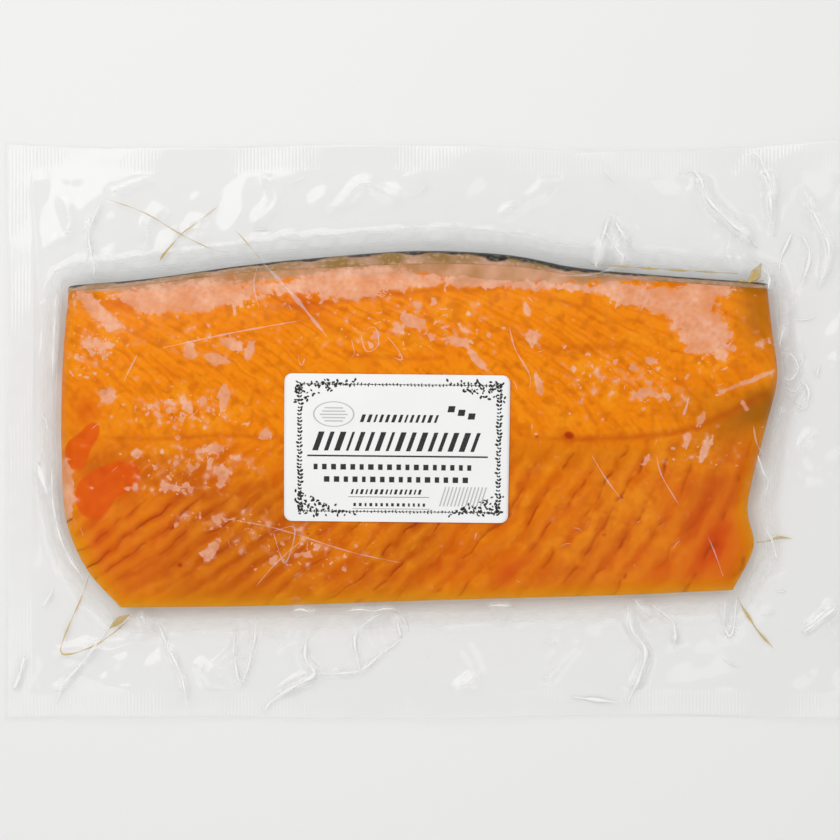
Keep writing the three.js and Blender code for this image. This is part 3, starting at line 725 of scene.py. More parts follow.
def fish_skin_material(settings):
    """Salmon skin, wet: scales about 2.4 mm across, near black along the back and silver below, and
    olive-brown fat at the cut lip."""
    material, add = new_material("wet_salmon_skin")
    where = add("TexCoord", out="Object")
    way = add("Attribute", attribute_name="way", out="Fac")
    speck = add("TexNoise", {"Vector": where, "Scale": 1 / (1.8 * MM), "Detail": 3.0})
    patch = add("TexNoise", {"Vector": where, "Scale": 1 / (14 * MM), "Detail": 3.0})
    scales = add("TexVoronoi", {"Vector": where, "Scale": 1 / (2.4 * MM)}, feature="SMOOTH_F1")
    share = add("MapRange", (way, 0.22, 0.5), **SMOOTH)
    colour = add("Mix", {0: share, 6: settings.skin_back, 7: settings.skin_belly}, **BLEND)
    share = add("MapRange", (speck, 0.52, 0.66, 0.0, 0.5))
    colour = add("Mix", {0: share, 6: colour, 7: linear("#8d8468")}, **BLEND)
    fat = add("Mix", {0: add("MapRange", (patch, 0.4, 0.6)), 6: linear("#96723c"),
                      7: linear("#c0957a")}, **BLEND)
    fat = add("Mix", {0: share, 6: fat, 7: linear("#d0b090")}, **BLEND)
    edge = add("MapRange", (patch, 0.3, 0.7, -0.045, 0.045))
    edge = add("Math", (edge, way), **PLUS)
    edge = add("MapRange", (edge, 0.10, 0.13, 1.0, 0.0), **SMOOTH)
    colour = add("Mix", {0: edge, 6: colour, 7: fat}, **BLEND)
    shader = add("BsdfPrincipled", {
        "Base Color": colour, "Roughness": 0.36, "Specular IOR Level": 0.15,
        "Normal": add("Bump", {"Height": scales, "Distance": 0.2 * MM})})
    add("OutputMaterial", (shader,))
    return material


def vacuum_film_material(settings):
    """Nylon and polyethylene vacuum film: clear and glossy. It mirrors a little light straight back and
    nearly all of it at a glance, less where it is wetted to the fish. Off the fish it scatters a little
    light, and it is white with painted highlight along folds and ridges and with painted light where it
    is drawn down beside the fish. Its seal is finely ribbed."""
    material, add = new_material("nylon_polyethylene_film")
    where = add("TexCoord", out="Object")
    sealed = add("Attribute", attribute_name="sealed", out="Fac")
    wet = add("Attribute", attribute_name="wet", out="Fac")
    haze_and_painted_light = add("Attribute", attribute_name="haze_and_painted_light", out="Fac")
    ribs = add("TexWave", {"Vector": where, "Scale": 0.31 / (1.2 * MM)}, "Fac", bands_direction="X")
    ribs = add("Math", (ribs, sealed), **TIMES)
    ribs = add("Math", (ribs, 0.35), **TIMES)
    grain = add("TexNoise", {"Vector": where, "Scale": 1 / (7 * MM), "Detail": 1.0})
    relief = add("Math", (grain, ribs), **PLUS)
    normal = add("Bump", {"Height": relief, "Distance": settings.film_grain})
    glance = add("LayerWeight", {"Blend": 0.5}, "Facing")
    glance = add("Math", (glance, 5.0), operation="POWER")
    straight = add("MapRange", (wet, 0.0, 1.0, settings.film_shine, 0.08 * settings.film_shine))
    most = add("MapRange", (wet, 0.0, 1.0, 0.95, 0.2))
    mirror = add("MapRange", {0: glance, 3: straight, 4: most})
    rough = add("MapRange", (wet, 0.0, 1.0, 0.09, 0.15))
    shine = add("BsdfGlossy", {"Roughness": rough, "Normal": normal})
    clear = add("BsdfTransparent")
    film = add("MixShader", (mirror, clear, shine))
    # The white mix is the film's haze off the fish, with painted highlight and painted light on top.
    white = add("BsdfDiffuse", {"Color": linear("#fbfbfa")})
    add("OutputMaterial", (add("MixShader", (haze_and_painted_light, film, white)),))
    return material


def crease_highlight_material(name, highlight_share):
    """The same film along a sharp crease, with a painted highlight: a share of white over the clear film."""
    material, add = new_material(name)
    white = add("BsdfPrincipled", {"Base Color": linear("#ffffff"), "Roughness": 0.45,
                                   "Specular IOR Level": 0.3})
    add("OutputMaterial", (add("MixShader", (highlight_share, add("BsdfTransparent"), white)),))
    return material


def paper_material(settings):
    """Coated white label paper: smooth and silky, with a faint grain."""
    material, add = new_material("coated_label_paper")
    where = add("TexCoord", out="Object")
    grain = add("TexNoise", {"Vector": where, "Scale": 1 / (0.6 * MM), "Detail": 3.0})
    cloud = add("TexNoise", {"Vector": where, "Scale": 1 / (18 * MM)})
    colour = add("Mix", {0: cloud, 6: settings.paper_colour, 7: linear("#f4f4f3")}, **BLEND)
    shader = add("BsdfPrincipled", {
        "Base Color": colour, "Roughness": 0.5, "Specular IOR Level": 0.35,
        "Normal": add("Bump", {"Height": grain, "Distance": 0.02 * MM})})
    add("OutputMaterial", (shader,))
    return material


def ink_material(name, colour):
    """Thermal-transfer ink: dense, slightly shiny, and thin over the paper's grain."""
    material, add = new_material(name)
    where = add("TexCoord", out="Object")
    worn = add("TexNoise", {"Vector": where, "Scale": 1 / (0.5 * MM)})
    worn = add("MapRange", (worn, 0.55, 0.8, 0.0, 0.2))
    worn = add("Mix", {0: worn, 6: colour, 7: linear("#8c8c8c")}, **BLEND)
    add("OutputMaterial", (add("BsdfPrincipled", {"Base Color": worn, "Roughness": 0.42}),))
    return material


def oil_material(settings):
    """Salmon oil: clear, glossy, and golden where it is thin."""
    material, add = new_material("salmon_oil")
    wet = add("BsdfPrincipled", {"Base Color": settings.oil_colour, "Roughness": 0.15, "IOR": 1.47})
    add("OutputMaterial", (add("MixShader", (settings.oil_depth, add("BsdfTransparent"), wet)),))
    return material


# ---------------------------------------------------------------------------------------------------
# The fish
# ---------------------------------------------------------------------------------------------------

def lateral(x, y):
    """Heights above and below the lateral line, which is nearly straight along the fish."""
    over = y + LATERAL_DROP - LATERAL_RISE * x
    return np.maximum(over, 0), np.maximum(-over, 0)


def flake_count(x, y, pitch):
    """Flakes counted along the fish: where the line between flakes through a place meets the lateral
    line, over the pitch. Below that line it leans by a slope that lessens towards the tail, and above
    it by half the height plus a share of the height squared, where the lines come closer. Slow and
    quick ripples make it wander."""
    above, below = lateral(x, y)
    slope = np.maximum(0.12, 0.81 - 0.0043 * x - 0.00007 * np.maximum(0, x - 60)**2)
    tail = 1 - 0.6 * smoothstep(x, 60, 115)
    count = ((x + slope * below + tail * (0.5 * above + 0.016 * above**2)) / pitch
             + 0.12 * ripples(x, y, 31, 10, 16, 60) + 0.05 * ripples(x, y, 32, 10, 5, 11))
    return np.where(above > 0, 1.5, 1) * count


def line_strength(x, y):
    """How dark and deep the lines between flakes are: most in the middle of the belly side, and faint
    on the back, along the edges and beside the lateral line towards the head."""
    above, below = lateral(x, y)
    start = lerp(15, 0, smoothstep(x, -60, 60))
    low = smoothstep(below, start, start + 9) * (1 - 0.7 * smoothstep(below, 40, 56))
    high = 0.22 * smoothstep(above, 5, 14) * (1 - 0.7 * smoothstep(above, 34, 50))
    return np.clip((low + high) * (0.85 + 0.3 * ripples(x, y, 5, 8, 30, 90)), 0, 1.1)


def flesh_shape(settings):
    """The flesh. Its top is a grid between the four sides, as high as the fish with low ripples, less a
    broken power of a cosine along each line between flakes and less the folds. Its flank goes on from
    there in two quarter rounds, out to its widest and in under the fish."""
    stations = Stations(380, 186)
    s = np.linspace(0, 1, stations.along + 1)[:, None]
    t = np.linspace(0, 1, stations.across + 1)[None, :]
    place = stations.grid(stations.points)
    place[..., 0] += INSET * (1 - 2 * s)
    place[..., 1] += lerp(INSET, -lip_width(s), t)
    x, y = place[..., 0], place[..., 1]
    pitch, depth = settings.flake_pitch / MM, settings.groove_depth / MM
    rim = smoothstep(np.minimum(np.minimum(s, 1 - s), np.minimum(t, 1 - t) * 0.5), 0, 0.02)
    groove = (0.5 + 0.5 * np.cos(2 * np.pi * flake_count(x, y, pitch)))**5 * line_strength(x, y)
    groove *= smoothstep(ripples(x, y, 17, 12, 7, 18), -0.4, 0.8)
    z = flesh_top(place) - 0.1 + rim * (0.12 * ripples(x, y, 8, 14, 7, 24) - depth * groove
                                        - FLESH_FOLD_DEPTH * near_lines(x, y, FLESH_FOLDS))
    index = np.arange(z.size).reshape(z.shape)
    edge = np.concatenate([index[:-1, 0], index[-1, :-1], index[:0:-1, -1], index[0, :0:-1]])
    top = np.dstack([x, y, z]).reshape(-1, 3)
    start = top[edge]
    on_end = np.where(stations.side % 2 == 1, stations.share, 0)
    skinned = np.maximum(stations.side == 2, smoothstep(on_end, 0.9, 1))[:, None]
    widest = stations.points - stations.out * lerp(BARE_FLANK, SKIN + FLANK_GAP, skinned)
    under = stations.points - stations.out * lerp(BARE_UNDER, SKIN + FLANK_GAP + FLANK_UNDER, skinned)
    middle = start[:, 2] * WIDEST_SHARE
    loops = []
    for turn in np.linspace(0, np.pi, 13)[1:]:
        upper = turn < np.pi / 2
        inner = start[:, :2] if upper else under
        reach = start[:, 2] - middle if upper else middle - FLESH_FLOOR
        loops.append(np.column_stack([widest + (inner - widest) * (1 - math.sin(turn)),
                                      middle + reach * math.cos(turn)]))
    points = np.vstack([top, *loops])
    ring = len(top) + np.arange(len(loops) * len(edge)).reshape(len(loops), -1)
    rows = np.vstack([edge, ring])
    faces = outward(points, [quads(index), quads(np.hstack([rows, rows[:, :1]])), ring[-1:, ::-1]])
    x, y = points[:, 0], points[:, 1]
    above, below = lateral(x, y)
    fields = {name: ovals(x, y, places) for name, places in ZONES.items()}
    fields.update(
        flake=flake_count(x, y, pitch), line=line_strength(x, y), height=(above - below) / 26,
        # fold is painted shade along the folds.
        fold=near_lines(x, y, FLESH_FOLDS), high=smoothstep(y, -20, 4),
        # thin is a painted glow along the outline, where light comes through the thin flesh, most towards the
        # belly.
        thin=np.exp(-edge_distance(points[:, :2]) / 3.2) * (0.3 + smoothstep(y, 12, -30)))
    return points, faces, fields


def skin_shape():
    """The skin, as sections along the fish that crowd towards its ends: out and up from under the flesh
    round the back flank, in two quarter ovals, to its cut lip. The inner wall is one skin inside, and both
    come together on the flesh at the lip. way runs from 0 at the lip to 1 at the belly edge, a little
    ahead where more of the dark skin shows."""
    s = np.linspace(0, 1, 261)
    s = s - 0.8 * np.sin(2 * np.pi * s) / (2 * np.pi)
    back = spaced(BACK, s)
    lip = lip_width(s)
    top = flesh_top(np.column_stack([back[:, 0], back[:, 1] - lip]))
    widest_y, widest_z = back[:, 1] - SKIN - FLANK_GAP, top * WIDEST_SHARE
    around, under = 21, 26  # points on a section's flank, and under the fish
    wall = around + under
    turns = np.pi * np.linspace(LIP_END, 1, around)

    def flank(offset, floor, at_lip):
        """A wall of the flank: offset out from the flesh at its widest, and at_lip out at the lip."""
        rows = []
        for turn in turns:
            upper = turn < np.pi / 2
            out = lerp(at_lip, offset, smoothstep(turn, turns[0], 1.3))
            reach = (widest_y - (back[:, 1] - lip) if upper else FLANK_UNDER) + out
            height = top - widest_z + out if upper else widest_z - floor
            rows.append(np.column_stack([back[:, 0], widest_y + out - reach * (1 - math.sin(turn)),
                                         widest_z + height * math.cos(turn)]))
        return np.stack(rows, 1)

    def below(floor):
        """A wall under the fish, flat at the height of floor."""
        t = np.linspace(0.92, 0.02, under)
        sides = spaced(BELLY, s), back, spaced(LEFT, t), spaced(RIGHT, t)
        flat = coons(sides, (BELLY[0], BELLY[-1], BACK[0], BACK[-1]), s, t)
        return np.dstack([flat, np.full(flat.shape[:2], floor)])

    grid = np.hstack([flank(FLANK_GAP + SKIN, SKIN_FLOOR, 0.04), below(SKIN_FLOOR),
                      below(SKIN_FLOOR + SKIN)[:, ::-1],
                      flank(FLANK_GAP, SKIN_FLOOR + SKIN, -0.3)[:, ::-1]])
    index = np.arange(grid[..., 0].size).reshape(grid.shape[:2])
    points = grid.reshape(-1, 3)
    outer, inner = index[[0, -1], :wall], index[[0, -1], :wall - 1:-1]
    ends = np.stack([outer[:, :-1], outer[:, 1:], inner[:, 1:], inner[:, :-1]], -1)
    faces = outward(points, [quads(np.hstack([index, index[:, :1]])), ends[0], ends[1][:, ::-1]])
    half = np.concatenate([np.linspace(0, 0.5, around), np.linspace(0.52, 1, under)])
    bare = 0.05 * np.exp(-((points[:, 0] - 38) / 24)**2)
    return points, faces, {"way": np.tile(np.concatenate([half, half[::-1]]), len(s)) + bare}


# ---------------------------------------------------------------------------------------------------
# The film
# ---------------------------------------------------------------------------------------------------

def bag_edge(stations, inset):
    """The pouch's outline moved in by inset: a rectangle whose sides the vacuum has drawn in by a sine
    arch with a slower sine on it."""
    half_length, half_width = BAG_LENGTH / 2 - inset, BAG_WIDTH / 2 - inset
    share, side = stations.share, stations.side
    drawn = EDGE_DRAW * np.sin(np.pi * share)**0.8 * (0.55 + 0.45 * np.sin(9 * share + 1))
    way = lerp(-1, 1, share)
    x = np.select([side == 1, side == 3], [half_length - drawn / 2, -half_length + drawn / 2],
                  way * half_length)
    y = np.select([side == 0, side == 2], [-half_width + drawn / 2, half_width - drawn], way * half_width)
    return np.column_stack([x, y])


def border_lift(x, y, outward_share):
    """How far the border stands off the table: low waves that grow outwards, and a corner that curls
    by the square of a smooth step."""
    waves = (0.5 + 0.3 * np.sin(x / 21 + 0.7) + 0.2 * np.sin(x / 9 - y / 15)
             + 0.25 * np.sin(y / 17 + x / 40 + 2))
    curl = smoothstep(x, 70, 150) * smoothstep(y, 40, 100)
    rise = smoothstep(outward_share, 0.05, 1)
    return rise * (BORDER_LIFT * np.maximum(0, waves) + CORNER_CURL * curl**2)


def pleat_height(stations, distance):
    """The pleats' height at a distance out from the pocket. A pleat's section is the exponential of
    minus a fourth power, and it narrows outwards to a round toe."""
    steps = np.linalg.norm(np.diff(stations.points, axis=0, append=stations.points[:1]), axis=1)
    round_it = np.cumsum(steps)
    total = np.zeros_like(distance)
    for side, share, half_width, length, height, lean in PLEATS:
        here = round_it[stations.side == side]
        centre = lerp(here[0], here[-1], share if side < 2 else 1 - share)
        off = (round_it[:, None] - centre + round_it[-1] / 2) % round_it[-1] - round_it[-1] / 2
        narrowing = half_width * lerp(1, 0.5, np.clip(distance / length, 0, 1))
        across = (off - lean * distance) / narrowing
        toe = smoothstep(distance, length, length - 1.6 * half_width)
        total += height * np.exp(-across**4) * toe * smoothstep(distance, -0.5, 3)
    return total


def film_shape(settings):
    """The pouch as one closed skin. Over the fish its top follows the flesh, a curve with one handle
    takes it over the shoulder, a power of the remaining distance brings it down to the lower film, and
    the border runs out to the seals with its waves, pleats, ridges and buckles, which are the
    exponential of ripples. The lower film comes back under it to a flat floor. It is wet over the fish,
    scatters a little light off it, and is white with painted highlight along folds and ridges and with
    painted light where it is drawn down to the table."""
    stations = Stations(300, 124)
    outline, out = stations.points, stations.out
    notch = np.where(stations.side == 1, np.exp(-((stations.share - NOTCH_AT) / NOTCH_WIDTH)**2), 0)
    clear = RIM_CLEARANCE + NOTCH_BRIDGE * notch
    thick = thickness(outline[:, 0], outline[:, 1])
    rim = RIM_SHARE * thick
    cling = settings.cling / MM
    shoulder = outline - out * FILM_HOLD
    high = flesh_top(shoulder) + cling
    loops = []  # places, height, distance from the fish, share of the way to the edge
    for w in np.linspace(0, 1, 7):
        distance = -FILM_HOLD * (1 - w)**2 + 2 * HANDLE_OUT * w * (1 - w) + clear * w**2
        height = high * (1 - w)**2 + 2 * HANDLE_SHARE * thick * w * (1 - w) + rim * w**2
        loops.append((outline + out * distance[:, None], height, distance, 0.0))
    for v in (np.arange(1, 13) / 12)**1.25:
        distance = clear + TENT_REACH * v
        loops.append((outline + out * distance[:, None], WEB + (rim - WEB) * (1 - v)**TENT_FALL,
                      distance, TENT_SHARE * v))
    foot, seal = loops[-1][0], bag_edge(stations, SEAL_WIDTH)
    run = np.linalg.norm(seal - foot, axis=1)
    for v in np.arange(1, 25) / 24:
        loops.append((lerp(foot, seal, v), np.full(len(foot), WEB), clear + TENT_REACH + run * v,
                      lerp(TENT_SHARE, SEAL_SHARE, v)))
    for inset in (8.5, 7, 5, 3, 1, 0):
        loops.append((bag_edge(stations, inset), np.full(len(foot), WEB - SEAL_STEP),
                      clear + TENT_REACH + run + SEAL_WIDTH - inset,
                      lerp(SEAL_SHARE, 1, 1 - inset / SEAL_WIDTH)))
    place = np.stack([loop[0] for loop in loops], 1)
    distance = np.stack([loop[2] for loop in loops], 1)
    x, y = place[..., 0], place[..., 1]
    share = np.broadcast_to([loop[3] for loop in loops], x.shape)
    unsealed = 1 - smoothstep(share, SEAL_SHARE - 0.06, SEAL_SHARE)
    buckle = (settings.buckle / MM * (np.exp(0.7 * ripples(x, y, 3, 26, 8, 30)) - 1)
              * (0.25 + 0.75 * unsealed))
    ridges = near_lines(x, y, SWELLS)
    folds = near_lines(x, y, [(FOLD_WIDTH, 1, points) for _, _, points in CREASES])
    swells = settings.pleats * (pleat_height(stations, distance) + ridges + FOLD_HEIGHT * folds)
    z = (np.stack([loop[1] for loop in loops], 1) + border_lift(x, y, share) + swells * unsealed
         + smoothstep(distance, 1.5, 9) * buckle)
    ring = np.arange(z.size).reshape(z.shape)

    inside = stations.grid(shoulder)
    wrinkle = 0.10 * ripples(inside[..., 0], inside[..., 1], 11, 14, 5, 18)
    inside = np.dstack([inside, flesh_top(inside) + cling + wrinkle])[1:-1, 1:-1]
    index = np.empty((stations.along + 1, stations.across + 1), int)
    index[:, 0], index[:, -1], index[0], index[-1] = stations.four_sides(ring[:, 0])
    index[1:-1, 1:-1] = z.size + np.arange(inside[..., 0].size).reshape(inside.shape[:2])

    lower = [(bag_edge(stations, inset), lerp(SEAL_SHARE, 1, 1 - inset / SEAL_WIDTH))
             for inset in (0, 4, SEAL_WIDTH)]
    lower += [(lerp(seal, foot, v), lerp(SEAL_SHARE, TENT_SHARE, v)) for v in np.arange(1, 7) / 6]
    lower.append((outline + out * FLOOR_REACH, 0.0))
    low_points = np.vstack([np.column_stack([p, border_lift(p[:, 0], p[:, 1], way) + BASE_LIFT])
                            for p, way in lower])
    low_ring = z.size + inside[..., 0].size + np.arange(len(low_points)).reshape(len(lower), -1)
    points = np.vstack([np.dstack([x, y, z]).reshape(-1, 3), inside.reshape(-1, 3), low_points])
    across = np.vstack([ring.T, low_ring])
    faces = outward(points, [quads(np.hstack([across, across[:, :1]])), quads(index),
                             low_ring[-1:, ::-1]])
    on_top, below = np.ones(inside[..., 0].size), np.zeros(len(low_points))
    sealed = smoothstep(share, SEAL_SHARE - 0.01, SEAL_SHARE + 0.01).ravel()
    wet = 1 - smoothstep(distance, -0.2, 0.8)
    # Painted light on the film drawn down beside the fish, and painted highlight along folds and ridges.
    painted_tent_light = smoothstep(distance, 1.5, 5) * (1 - smoothstep(distance, 6, 13))
    white = FOLD_HIGHLIGHT * folds + RIDGE_HIGHLIGHT * ridges + TENT_PAINTED_LIGHT * painted_tent_light
    uneven = 0.8 + 0.2 * np.tanh(ripples(x, y, 23, 16, 5, 22))
    haze_and_painted_light = (settings.film_haze * (1 - wet) + white * unsealed * uneven).ravel()
    return points, faces, {"sealed": np.concatenate([sealed, 0 * on_top, below]),
                           "wet": np.concatenate([wet.ravel(), on_top, below + 1]),
                           "haze_and_painted_light": np.concatenate([haze_and_painted_light, 0 * on_top, below])}


# ---------------------------------------------------------------------------------------------------
# The label
# ---------------------------------------------------------------------------------------------------

def on_label(u, v, up):
    """A place on the label, u along it and v across it from its middle, as high as the fish there."""
    c, s = math.cos(LABEL_TURN), math.sin(LABEL_TURN)
    x, y = LABEL_AT[0] + u * c - v * s, LABEL_AT[1] + u * s + v * c
    return np.stack([x, y, thickness(x, y) + LABEL_LIFT + up], -1)


def label_shape(settings):
    """The label: a grid whose rows end on its rounded corners, bent over the fish, and its back one
    paper's thickness below."""
    half, high = LABEL_LENGTH / 2, LABEL_WIDTH / 2
    corner = LABEL_CORNER * (1 - np.cos(np.linspace(0, np.pi / 2, 9)))
    rows = np.concatenate([-high + corner, np.linspace(-high + LABEL_CORNER, high - LABEL_CORNER, 34)[1:-1],
                           (high - corner)[::-1]])
    into = np.maximum(0, np.abs(rows) - (high - LABEL_CORNER))
    reach = half - LABEL_CORNER + np.sqrt(np.maximum(0, LABEL_CORNER**2 - into**2))
    u = np.linspace(-1, 1, 61)[None, :] * reach[:, None]
    v = np.broadcast_to(rows[:, None], u.shape)
    points = np.vstack([on_label(u, v, up).reshape(-1, 3) for up in (settings.paper / MM, 0.0)])
    index = np.arange(u.size).reshape(u.shape)
    edge = np.concatenate([index[0, :-1], index[:-1, -1], index[-1, :0:-1], index[:0:-1, 0]])
    wall = np.stack([edge, np.roll(edge, -1), np.roll(edge, -1) + u.size, edge + u.size], 1)
    return points, outward(points, [quads(index), quads(index)[:, ::-1] + u.size, wall]), {}


def leaf(u, v, turn, size):
    """A leaf's outline: eight corners, its half width a power of a sine along it."""
    along = np.array([0, 0.3, 0.65, 0.9, 1, 0.9, 0.65, 0.3])
    side = np.array([0, -1, -1, -0.6, 0, 0.6, 1, 1]) * 0.28
    side = side * np.sin(np.pi * np.clip(along, 0.08, 0.92))**0.6
    c, s = math.cos(turn), math.sin(turn)
    return np.column_stack([u + size * (along * c - side * s), v + size * (along * s + side * c)])


def bar(u, v, width, height, slant=0.0):
    """A bar from its lower left corner, as short quads that can bend with the label."""
    edge = u + width * np.linspace(0, 1, 1 + max(1, round(width / 2.5)))
    low = np.column_stack([edge, np.full_like(edge, v)])
    high = low + (slant * height, height)
    return np.stack([low[:-1], low[1:], high[1:], high[:-1]], 1)


def vine_border():
    """A vine round the label: pairs of leaves on a thin stem, and sprays of leaves that thin out from
    each corner."""
    draw = np.random.default_rng(21)
    middle, half_u, half_v = 0.9, 33.6, 21.5
    shapes = [bar(middle - half_u, sign * half_v - 0.1, 2 * half_u, 0.2) for sign in (-1, 1)]
    shapes += [bar(middle + sign * half_u - 0.1, -half_v, 0.2, 2 * half_v) for sign in (-1, 1)]
    for half, other, way, low, high in ((half_u, half_v, 0.0, 0.5, 0.9),
                                        (half_v, half_u, math.pi / 2, 0.9, 1.6)):
        for w in np.arange(-half, half, 1.2):
            for sign in (-1, 1):
                u, v = (sign * other, w) if way else (w, sign * other)
                for flip in (-1, 1):
                    turn = way + flip * draw.uniform(0.4, 1.2)
                    shapes.append(leaf(u + middle, v, turn, draw.uniform(low, high)))
    for sign_u in (-1, 1):
        for sign_v in (-1, 1):
            for a, b, turn, size in draw.uniform(0, 1, (72, 4)):
                a, b = (1 - a, 1 - b) if a + b > 1 else (a, b)
                place = leaf(half_u + 1.6 - 21 * a, half_v + 1.2 - 8 * b, turn * math.tau,
                             lerp(0.8, 1.5, size))
                shapes.append(place * (sign_u, sign_v) + (middle, 0))
    return shapes


def plain_rows():
    """Rows of plain bars, where a label would carry words, and the rules under them."""
    draw = np.random.default_rng(4)
    bars = [bar(*rule) for rule in RULES]
    for v, height, u, end, narrow, wide, gap, slant in PRINT_ROWS:
        while u < end:
            width = draw.uniform(narrow, wide)
            bars.append(bar(u, v, width, height, slant))
            u += width + gap
    return bars + [bar(u, 12.4 - 0.35 * (u - 17), 2.3, 2.1, 0.2) for u in (17, 20.4, 23.8)]


def grey_marks():
    """A ring with plain lines in it at the upper left, and a hatched field at the lower right."""
    turn = np.linspace(0, 2 * np.pi, 41)
    outer, inner = (np.column_stack([-21.3 + 7 * k * np.cos(turn), 11.4 + 4.3 * k * np.sin(turn)])
                    for k in (1, 0.93))
    marks = [np.stack([outer[:-1], outer[1:], inner[1:], inner[:-1]], 1)]
    marks += [bar(-26 + 0.8 * abs(k - 2), 8.9 + 1.1 * k, 9.4 - 1.6 * abs(k - 2), 0.4) for k in range(5)]
    return marks + [bar(14.5 + k * 1.25, -19.5, 0.5, 6.6, 0.3) for k in range(12)]


def print_shape(shapes, up):
    """Flat leaves and bars laid just over the paper, each turned face up."""
    points, faces, first = [], {}, 0
    for shape in shapes:
        cells = shape.reshape(-1, *shape.shape[-2:])
        after = np.roll(cells, -1, 1)
        turned = (cells[..., 0] * after[..., 1] - cells[..., 1] * after[..., 0]).sum(1) < 0
        cells = np.where(turned[:, None, None], cells[:, ::-1], cells)
        index = first + np.arange(cells.shape[0] * cells.shape[1]).reshape(cells.shape[:2])
        faces.setdefault(cells.shape[1], []).append(index)
        points.append(cells.reshape(-1, 2))
        first += index.size
    u, v = np.vstack(points).T
    return on_label(u, v, up), [np.vstack(group) for group in faces.values()], {}


# ---------------------------------------------------------------------------------------------------
# Settings
# ---------------------------------------------------------------------------------------------------

def colour_setting(name, description, hex_colour):
    return FloatVectorProperty(name=name, description=description, default=linear(hex_colour),
                               subtype="COLOR", size=4, min=0, max=1)


def length_setting(name, description, millimetres):
    return FloatProperty(name=name, description=description, default=millimetres * MM, unit="LENGTH",
                         subtype="DISTANCE", min=0, precision=5)


def share_setting(name, description, default):
    return FloatProperty(name=name, description=description, default=default, min=0, max=1,
                         subtype="FACTOR")


class SalmonFishSettings(bpy.types.PropertyGroup):
    flake_pitch: length_setting("Flake pitch", "Distance between the lines along the lateral line", 8.2)
    groove_depth: length_setting("Groove depth", "Depth of the groove between two flakes", 0.25)
    # How strong the painted reflection is where air lies over the flesh.
    gap_sheen: share_setting("Dryness", "How pale the flesh is where air lies over it", 0.9)
    flesh_bright: colour_setting("Back flesh", "Flesh towards the back", "#ec8102")
    flesh_low: colour_setting("Belly flesh", "Flesh towards the belly", "#d66600")
    flesh_deep: colour_setting("Deep flesh", "Flesh in its darker parts", "#bd5400")
    line_colour: colour_setting("Lines", "Connective tissue between flakes", "#9a3800")
    skin_back: colour_setting("Back skin", "Skin along the back", "#1f1b18")
    skin_belly: colour_setting("Belly skin", "Skin under the fish", "#a9a7a2")
    oil_colour: colour_setting("Oil", "Oil that has crept out of the fish", "#dab650")
    oil_depth: share_setting("Oil depth", "How much the oil hides what is under it", 0.5)


class SalmonFilmSettings(bpy.types.PropertyGroup):
    cling: length_setting("Cling", "Height of the film over the flesh", 0.3)
    buckle: length_setting("Buckle", "Height of the ripples on the border", 0.3)
    film_grain: length_setting("Film grain", "Height of the film's finest unevenness", 0.12)
    pleats: FloatProperty(name="Pleats", description="Height of the pleats, as a share of their own",
                          default=1.0, min=0, max=2)
    film_shine: share_setting("Film shine", "Share of light mirrored straight back", 0.04)
    film_haze: share_setting("Film haze", "Share of light that the film scatters", 0.08)
    # Strength of the painted highlight along a sharp crease.
    crease_highlight: share_setting("Crease white", "How white a sharp fold is", 0.8)


class SalmonLabelSettings(bpy.types.PropertyGroup):
    paper: length_setting("Paper", "Thickness of the label", 0.2)
    paper_colour: colour_setting("Paper colour", "Colour of the label's paper", "#ebebea")
    ink_colour: colour_setting("Ink colour", "Colour of the label's print", "#0b0b0b")
    grey_colour: colour_setting("Grey ink", "Colour of the label's pale marks", "#bcbcbc")


class SalmonStageSettings(bpy.types.PropertyGroup):
    floor_colour: colour_setting("Floor", "Colour of the floor", "#ebebea")
    key: FloatProperty(name="Key light", description="Power of the softbox at the upper left",
                       default=2.45, min=0, unit="POWER")
    fill: FloatProperty(name="Fill light", description="Power of each other softbox", default=0.74,
                        min=0, unit="POWER")
    ring: FloatProperty(name="Ring", description="Brightness of the ring of light round the stage",
                        default=0.56, min=0)
    zenith: FloatProperty(name="Zenith", description="Brightness straight overhead", default=0.5, min=0)


GROUPS = {"salmon_fish": SalmonFishSettings, "salmon_film": SalmonFilmSettings,
          "salmon_label": SalmonLabelSettings, "salmon_stage": SalmonStageSettings}


# ---------------------------------------------------------------------------------------------------
# Operators
# ---------------------------------------------------------------------------------------------------

class SALMON_OT_flesh(bpy.types.Operator):
    """Make the salmon's flesh"""
    bl_idname = "salmon.flesh"
    bl_label = "Flesh"

    def execute(self, context):
        settings = context.scene.salmon_fish
        add_piece("salmon_flesh", flesh_shape(settings), salmon_flesh_material(settings), "salmon_flesh",
                  ["fillet"])
        return {"FINISHED"}


class SALMON_OT_skin(bpy.types.Operator):
    """Make the salmon's skin"""
    bl_idname = "salmon.skin"
    bl_label = "Skin"

    def execute(self, context):
        add_piece("salmon_skin", skin_shape(), fish_skin_material(context.scene.salmon_fish),
                  "fish_skin", ["skin"])
        return {"FINISHED"}


class SALMON_OT_film(bpy.types.Operator):
    """Make the pouch's film and its creases"""
    bl_idname = "salmon.film"
    bl_label = "Film"

    def execute(self, context):
        settings = context.scene.salmon_film
        film = add_piece("film", film_shape(settings), vacuum_film_material(settings), "clear_film",
                         ["pouch"])
        # The creases' white is a painted highlight, fainter on the fish.
        white = settings.crease_highlight
        for name, creases, small, white in (
                ("border_creases", CREASES, SMALL_BORDER_FOLDS, white),
                ("fish_creases", FISH_CREASES, SMALL_FISH_FOLDS, FISH_CREASE_SHARE * white)):
            lines = lay_on(film, creases + small_folds(*small))
            sweep(name, lines, crease_highlight_material(name, white), "clear_film")
        return {"FINISHED"}


